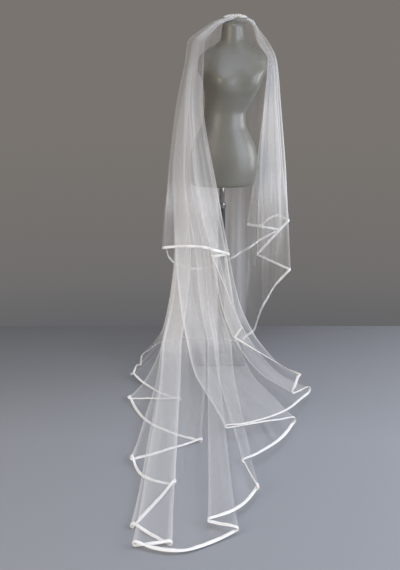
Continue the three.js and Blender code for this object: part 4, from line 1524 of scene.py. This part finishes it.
# Levels of the dress form: z, half width, half depth, x and y of the middle
FORM_LEVELS = (
    (1610, 15, 7.6, 33, 0),
    (1602, 29, 19, 38, 1),
    (1596, 37, 34, 41, 2),
    (1590.5, 44, 46, 42, 2),
    (1582, 48, 50, 42, 2),
    (1560, 50, 52, 42, 3),
    (1525, 55, 56, 42, 5),
    (1500, 82, 61, 42, 7),
    (1480, 118, 67, 42, 9),
    (1455, 148, 75, 42, 10),
    (1430, 156, 83, 42, 10),
    (1395, 156, 93, 41, 9),
    (1355, 138, 99, 40, 8),
    (1310, 126, 98, 38, 8),
    (1260, 110, 90, 27, 10),
    (1200, 97, 80, 10, 10),
    (1150, 103, 84, 7, 10),
    (1100, 125, 94, 6, 10),
    (1050, 147, 103, 6, 10),
    (1000, 158, 110, 6, 10),
    (950, 160, 111, 5, 10),
    (900, 156, 109, 2, 10),
    (878, 152, 106, 0, 10),
    (870, 146, 100, 0, 10),
)


@dataclass
class DressForm:
    """The moulded torso; angles in degrees."""

    bust_z: float = 1342
    bust_angle: float = 36
    bust_spread: float = 17
    bust_high: float = 42
    bust_depth: float = 26
    bust_aside: float = 0.55
    yaw: float = 14
    step: float = 5
    cap_steps: int = 14
    around: int = 112
    dome: float = 0.4

    def build(self) -> Piece:
        """Makes the torso.

        Formula: ovals whose size and middle run smoothly through the levels; two bell-shaped
        swellings, turned by the yaw, make the bust.

        Returns:
            The piece.
        """
        table = np.array(FORM_LEVELS)[::-1]
        low, neck, top = table[0, 0], table[-4, 0], table[-1, 0]
        body = np.arange(table[1, 0], neck, self.step)
        cap = np.linspace(neck, top, self.cap_steps)
        z = np.concatenate([[low, low + 2, low + 5], body, cap])
        half_x, half_y, x0, y0 = smooth_through(table, z).T[:, :, None]
        z = z[:, None]
        angle = np.linspace(0, 360, self.around, endpoint=False)[None, :] - 90
        swell = np.zeros((len(z), self.around))
        for side in (-self.bust_angle, self.bust_angle):
            off = ((angle + 90 - self.yaw - side + 540) % 360 - 180) / self.bust_spread
            up = (z - self.bust_z) / self.bust_high
            swell = swell + self.bust_depth * np.exp(-0.5 * off**2) * np.exp(-0.5 * up**2)
        x = x0 + (half_x + swell * self.bust_aside) * np.cos(np.radians(angle))
        y = y0 + (half_y + swell) * np.sin(np.radians(angle))
        piece = make_closed("torso", x, y, z, self.dome)
        return dress(piece, PLASTIC, Slot.PLASTIC, "dress_form")


@dataclass
class Stand:
    """Base plate, two tubes and the collar between them."""

    plate_width: float = 240
    plate_depth: float = 290
    plate_thickness: float = 8
    plate_corner: float = 12
    plate_bevel: float = 1.2
    lower_radius: float = 16
    lower_top: float = 755
    collar_radius: float = 20
    collar_height: float = 26
    collar_bevel: float = 2.5
    upper_radius: float = 12.5
    upper_top: float = 869.7
    tube_y: float = 10
    tube_bevel: float = 1.0
    plate_rim: float = 0.4
    tube_rim: float = 0.5
    gap: float = 0.3
    sides: int = 96
    corner_sides: int = 9
    sharp: float = 40

    def build(self) -> None:
        """Makes the four pieces."""
        self.build_plate()
        bevel, collar_top = self.tube_bevel, self.lower_top + self.gap + self.collar_height
        tubes = (
            ("lower_tube", self.lower_radius, self.lower_top, bevel, DARK_PAINT, Slot.DARK),
            ("collar", self.collar_radius, collar_top, self.collar_bevel, CHROME, Slot.CHROME),
            ("upper_tube", self.upper_radius, self.upper_top, bevel, CHROME, Slot.CHROME),
        )
        below = self.plate_thickness
        for node, radius, top, edge, look, slot in tubes:
            piece = self.lathe(f"stand_{node}", radius, below + self.gap, top, edge)
            dress(piece, look, slot, node)
            below = top

    def rounded(self, low: float, high: float, bevel: float, steps: int, rim: float) -> tuple:
        """How far in and how high the outlines of a body with round edges lie.

        Args:
            low: Height of its lower face.
            high: Height of its upper face.
            bevel: Radius of its edges.
            steps: Outlines along one edge.
            rim: How far the first and the last outline lie in from the edges.

        Returns:
            The insets and the heights, each with one value for each outline.
        """
        turn = np.linspace(0, math.pi / 2, steps)
        c, s = bevel * np.cos(turn), bevel * np.sin(turn)
        inset = np.concatenate([[bevel + rim], bevel - s, bevel - c, [bevel + rim]])
        z = np.concatenate([[low], low + bevel - c, high - bevel + s, [high]])
        return inset[:, None], z[:, None]

    def lathe(self, name: str, radius: float, low: float, high: float, bevel: float) -> Piece:
        """A turned tube with rounded edges.

        Args:
            name: Its name.
            radius: Its radius.
            low: Height of its lower end.
            high: Height of its upper end.
            bevel: Radius of its edges.

        Returns:
            The piece.
        """
        inset, z = self.rounded(low, high, bevel, 5, self.tube_rim)
        angle = np.linspace(0, TURN, self.sides, endpoint=False)[None, :]
        x, y = ((radius - inset) * way(angle) for way in (np.cos, np.sin))
        return make_closed(name, x, self.tube_y + y, z, sharp=self.sharp)

    def build_plate(self) -> Piece:
        """The base plate: a rectangle with round corners and softened edges."""
        thickness, n = self.plate_thickness, self.corner_sides
        inset, z = self.rounded(0, thickness, self.plate_bevel, 4, self.plate_rim)
        quarter = np.linspace(0, math.pi / 2, n)
        angle = np.concatenate([quarter + i * math.pi / 2 for i in range(4)])
        side_x = np.repeat([1, -1, -1, 1], n) * (self.plate_width / 2 - self.plate_corner)
        side_y = np.repeat([1, 1, -1, -1], n) * (self.plate_depth / 2 - self.plate_corner)
        radius = self.plate_corner - inset
        x, y = side_x + radius * np.cos(angle), side_y + radius * np.sin(angle)
        piece = make_closed("stand_base_plate", x, y, z, sharp=self.sharp)
        return dress(piece, BRUSHED, Slot.STEEL, "base_plate")


# --- the studio

# Soft lights in metres and watts: name, place, target, side, power and colour
LIGHTS = (
    ("left", (-2.6, -3.6, 1.9), (0, -0.3, 0.8), 2.4, 70, "#FFF0DC"),
    ("window", (3.2, -2.4, 1.6), (0, -0.4, 0.7), 2.6, 105, "#E4EEFF"),
    ("side", (2.4, 0.15, 1.2), (0, 0, 1.0), 1.2, 30, "#F4F4FA"),
    ("top", (0.2, -2.2, 3.8), (0, -1.5, 0), 2.8, 62, "#DCE8FF"),
)


@dataclass
class Studio:
    """A plain pale floor that ends at the wall, soft lights and the camera; sizes in metres."""

    camera: tuple[float, float, float] = (-0.105, -3.55, 1.47)
    tilt: float = 72.8
    lens: float = 47.49
    sensor: float = 36.0
    floor_side: float = 6.0
    floor_front: float = -7.0
    floor: Floor = Floor()
    # Wall colour by height; the darker stops low down are painted shade near the floor.
    wall: tuple[tuple[float, str], ...] = ((0.315, "#5F6064"), (0.36, "#706E6D"), (0.45, "#79746F"))
    layers: int = 96

    def build(self) -> None:
        """Lays the floor and sets world, lights and camera."""
        self.build_floor()
        self.build_world()
        self.build_lights()
        self.build_camera()
        scene = bpy.context.scene
        scene.view_settings.view_transform = "Standard"
        scene.cycles.transparent_max_bounces = self.layers

    def build_floor(self) -> None:
        """The floor, a flat sheet up to the wall."""
        x, front, back = self.floor_side, self.floor_front, self.floor.far
        points = np.array([(-x, front, 0), (x, front, 0), (x, back, 0), (-x, back, 0)]) / MM
        floor = make_piece("floor", points, np.array([[0, 1, 2, 3]]))
        floor.data.materials.append(self.floor.build())

    def build_world(self) -> None:
        """A grey all round, which stands for the wall; its darker lower part, towards the floor, is
        painted shade.
        """
        world = bpy.data.worlds.new("wall grey")
        world.use_nodes = True
        n = Nodes(world.node_tree)
        place = n.add("ShaderNodeTexCoord").outputs["Generated"]
        height = n.add("ShaderNodeSeparateXYZ", Vector=place).outputs[2]
        shade = n.ramp(n.remap(height, 0, 1, -1, 1), *self.wall)
        n.tree.links.new(shade, n.tree.nodes["Background"].inputs[0])
        bpy.context.scene.world = world

    def build_lights(self) -> None:
        """The square soft lights."""
        for name, place, target, side, power, colour in LIGHTS:
            data = bpy.data.lights.new(name, "AREA")
            data.size, data.energy, data.color = side, power, linear(colour)[:3]
            lamp = show(name, data)
            way = Vector(target) - Vector(place)
            lamp.location, lamp.rotation_euler = place, way.to_track_quat("-Z", "Y").to_euler()

    def build_camera(self) -> None:
        """The camera, where the photograph was taken from."""
        data = bpy.data.cameras.new("camera")
        data.lens, data.sensor_width = self.lens, self.sensor
        camera = show("camera", data)
        camera.location, camera.rotation_euler = self.camera, (math.radians(self.tilt), 0, 0)
        bpy.context.scene.camera = camera


def main() -> None:
    """Builds the stand, the form, the veil and the studio, in this order."""
    logging.basicConfig(level=logging.INFO, format="%(name)s: %(message)s")
    for assembly in (Stand(), DressForm(), Veil(), Studio()):
        assembly.build()


if __name__ == "__main__":
    main()
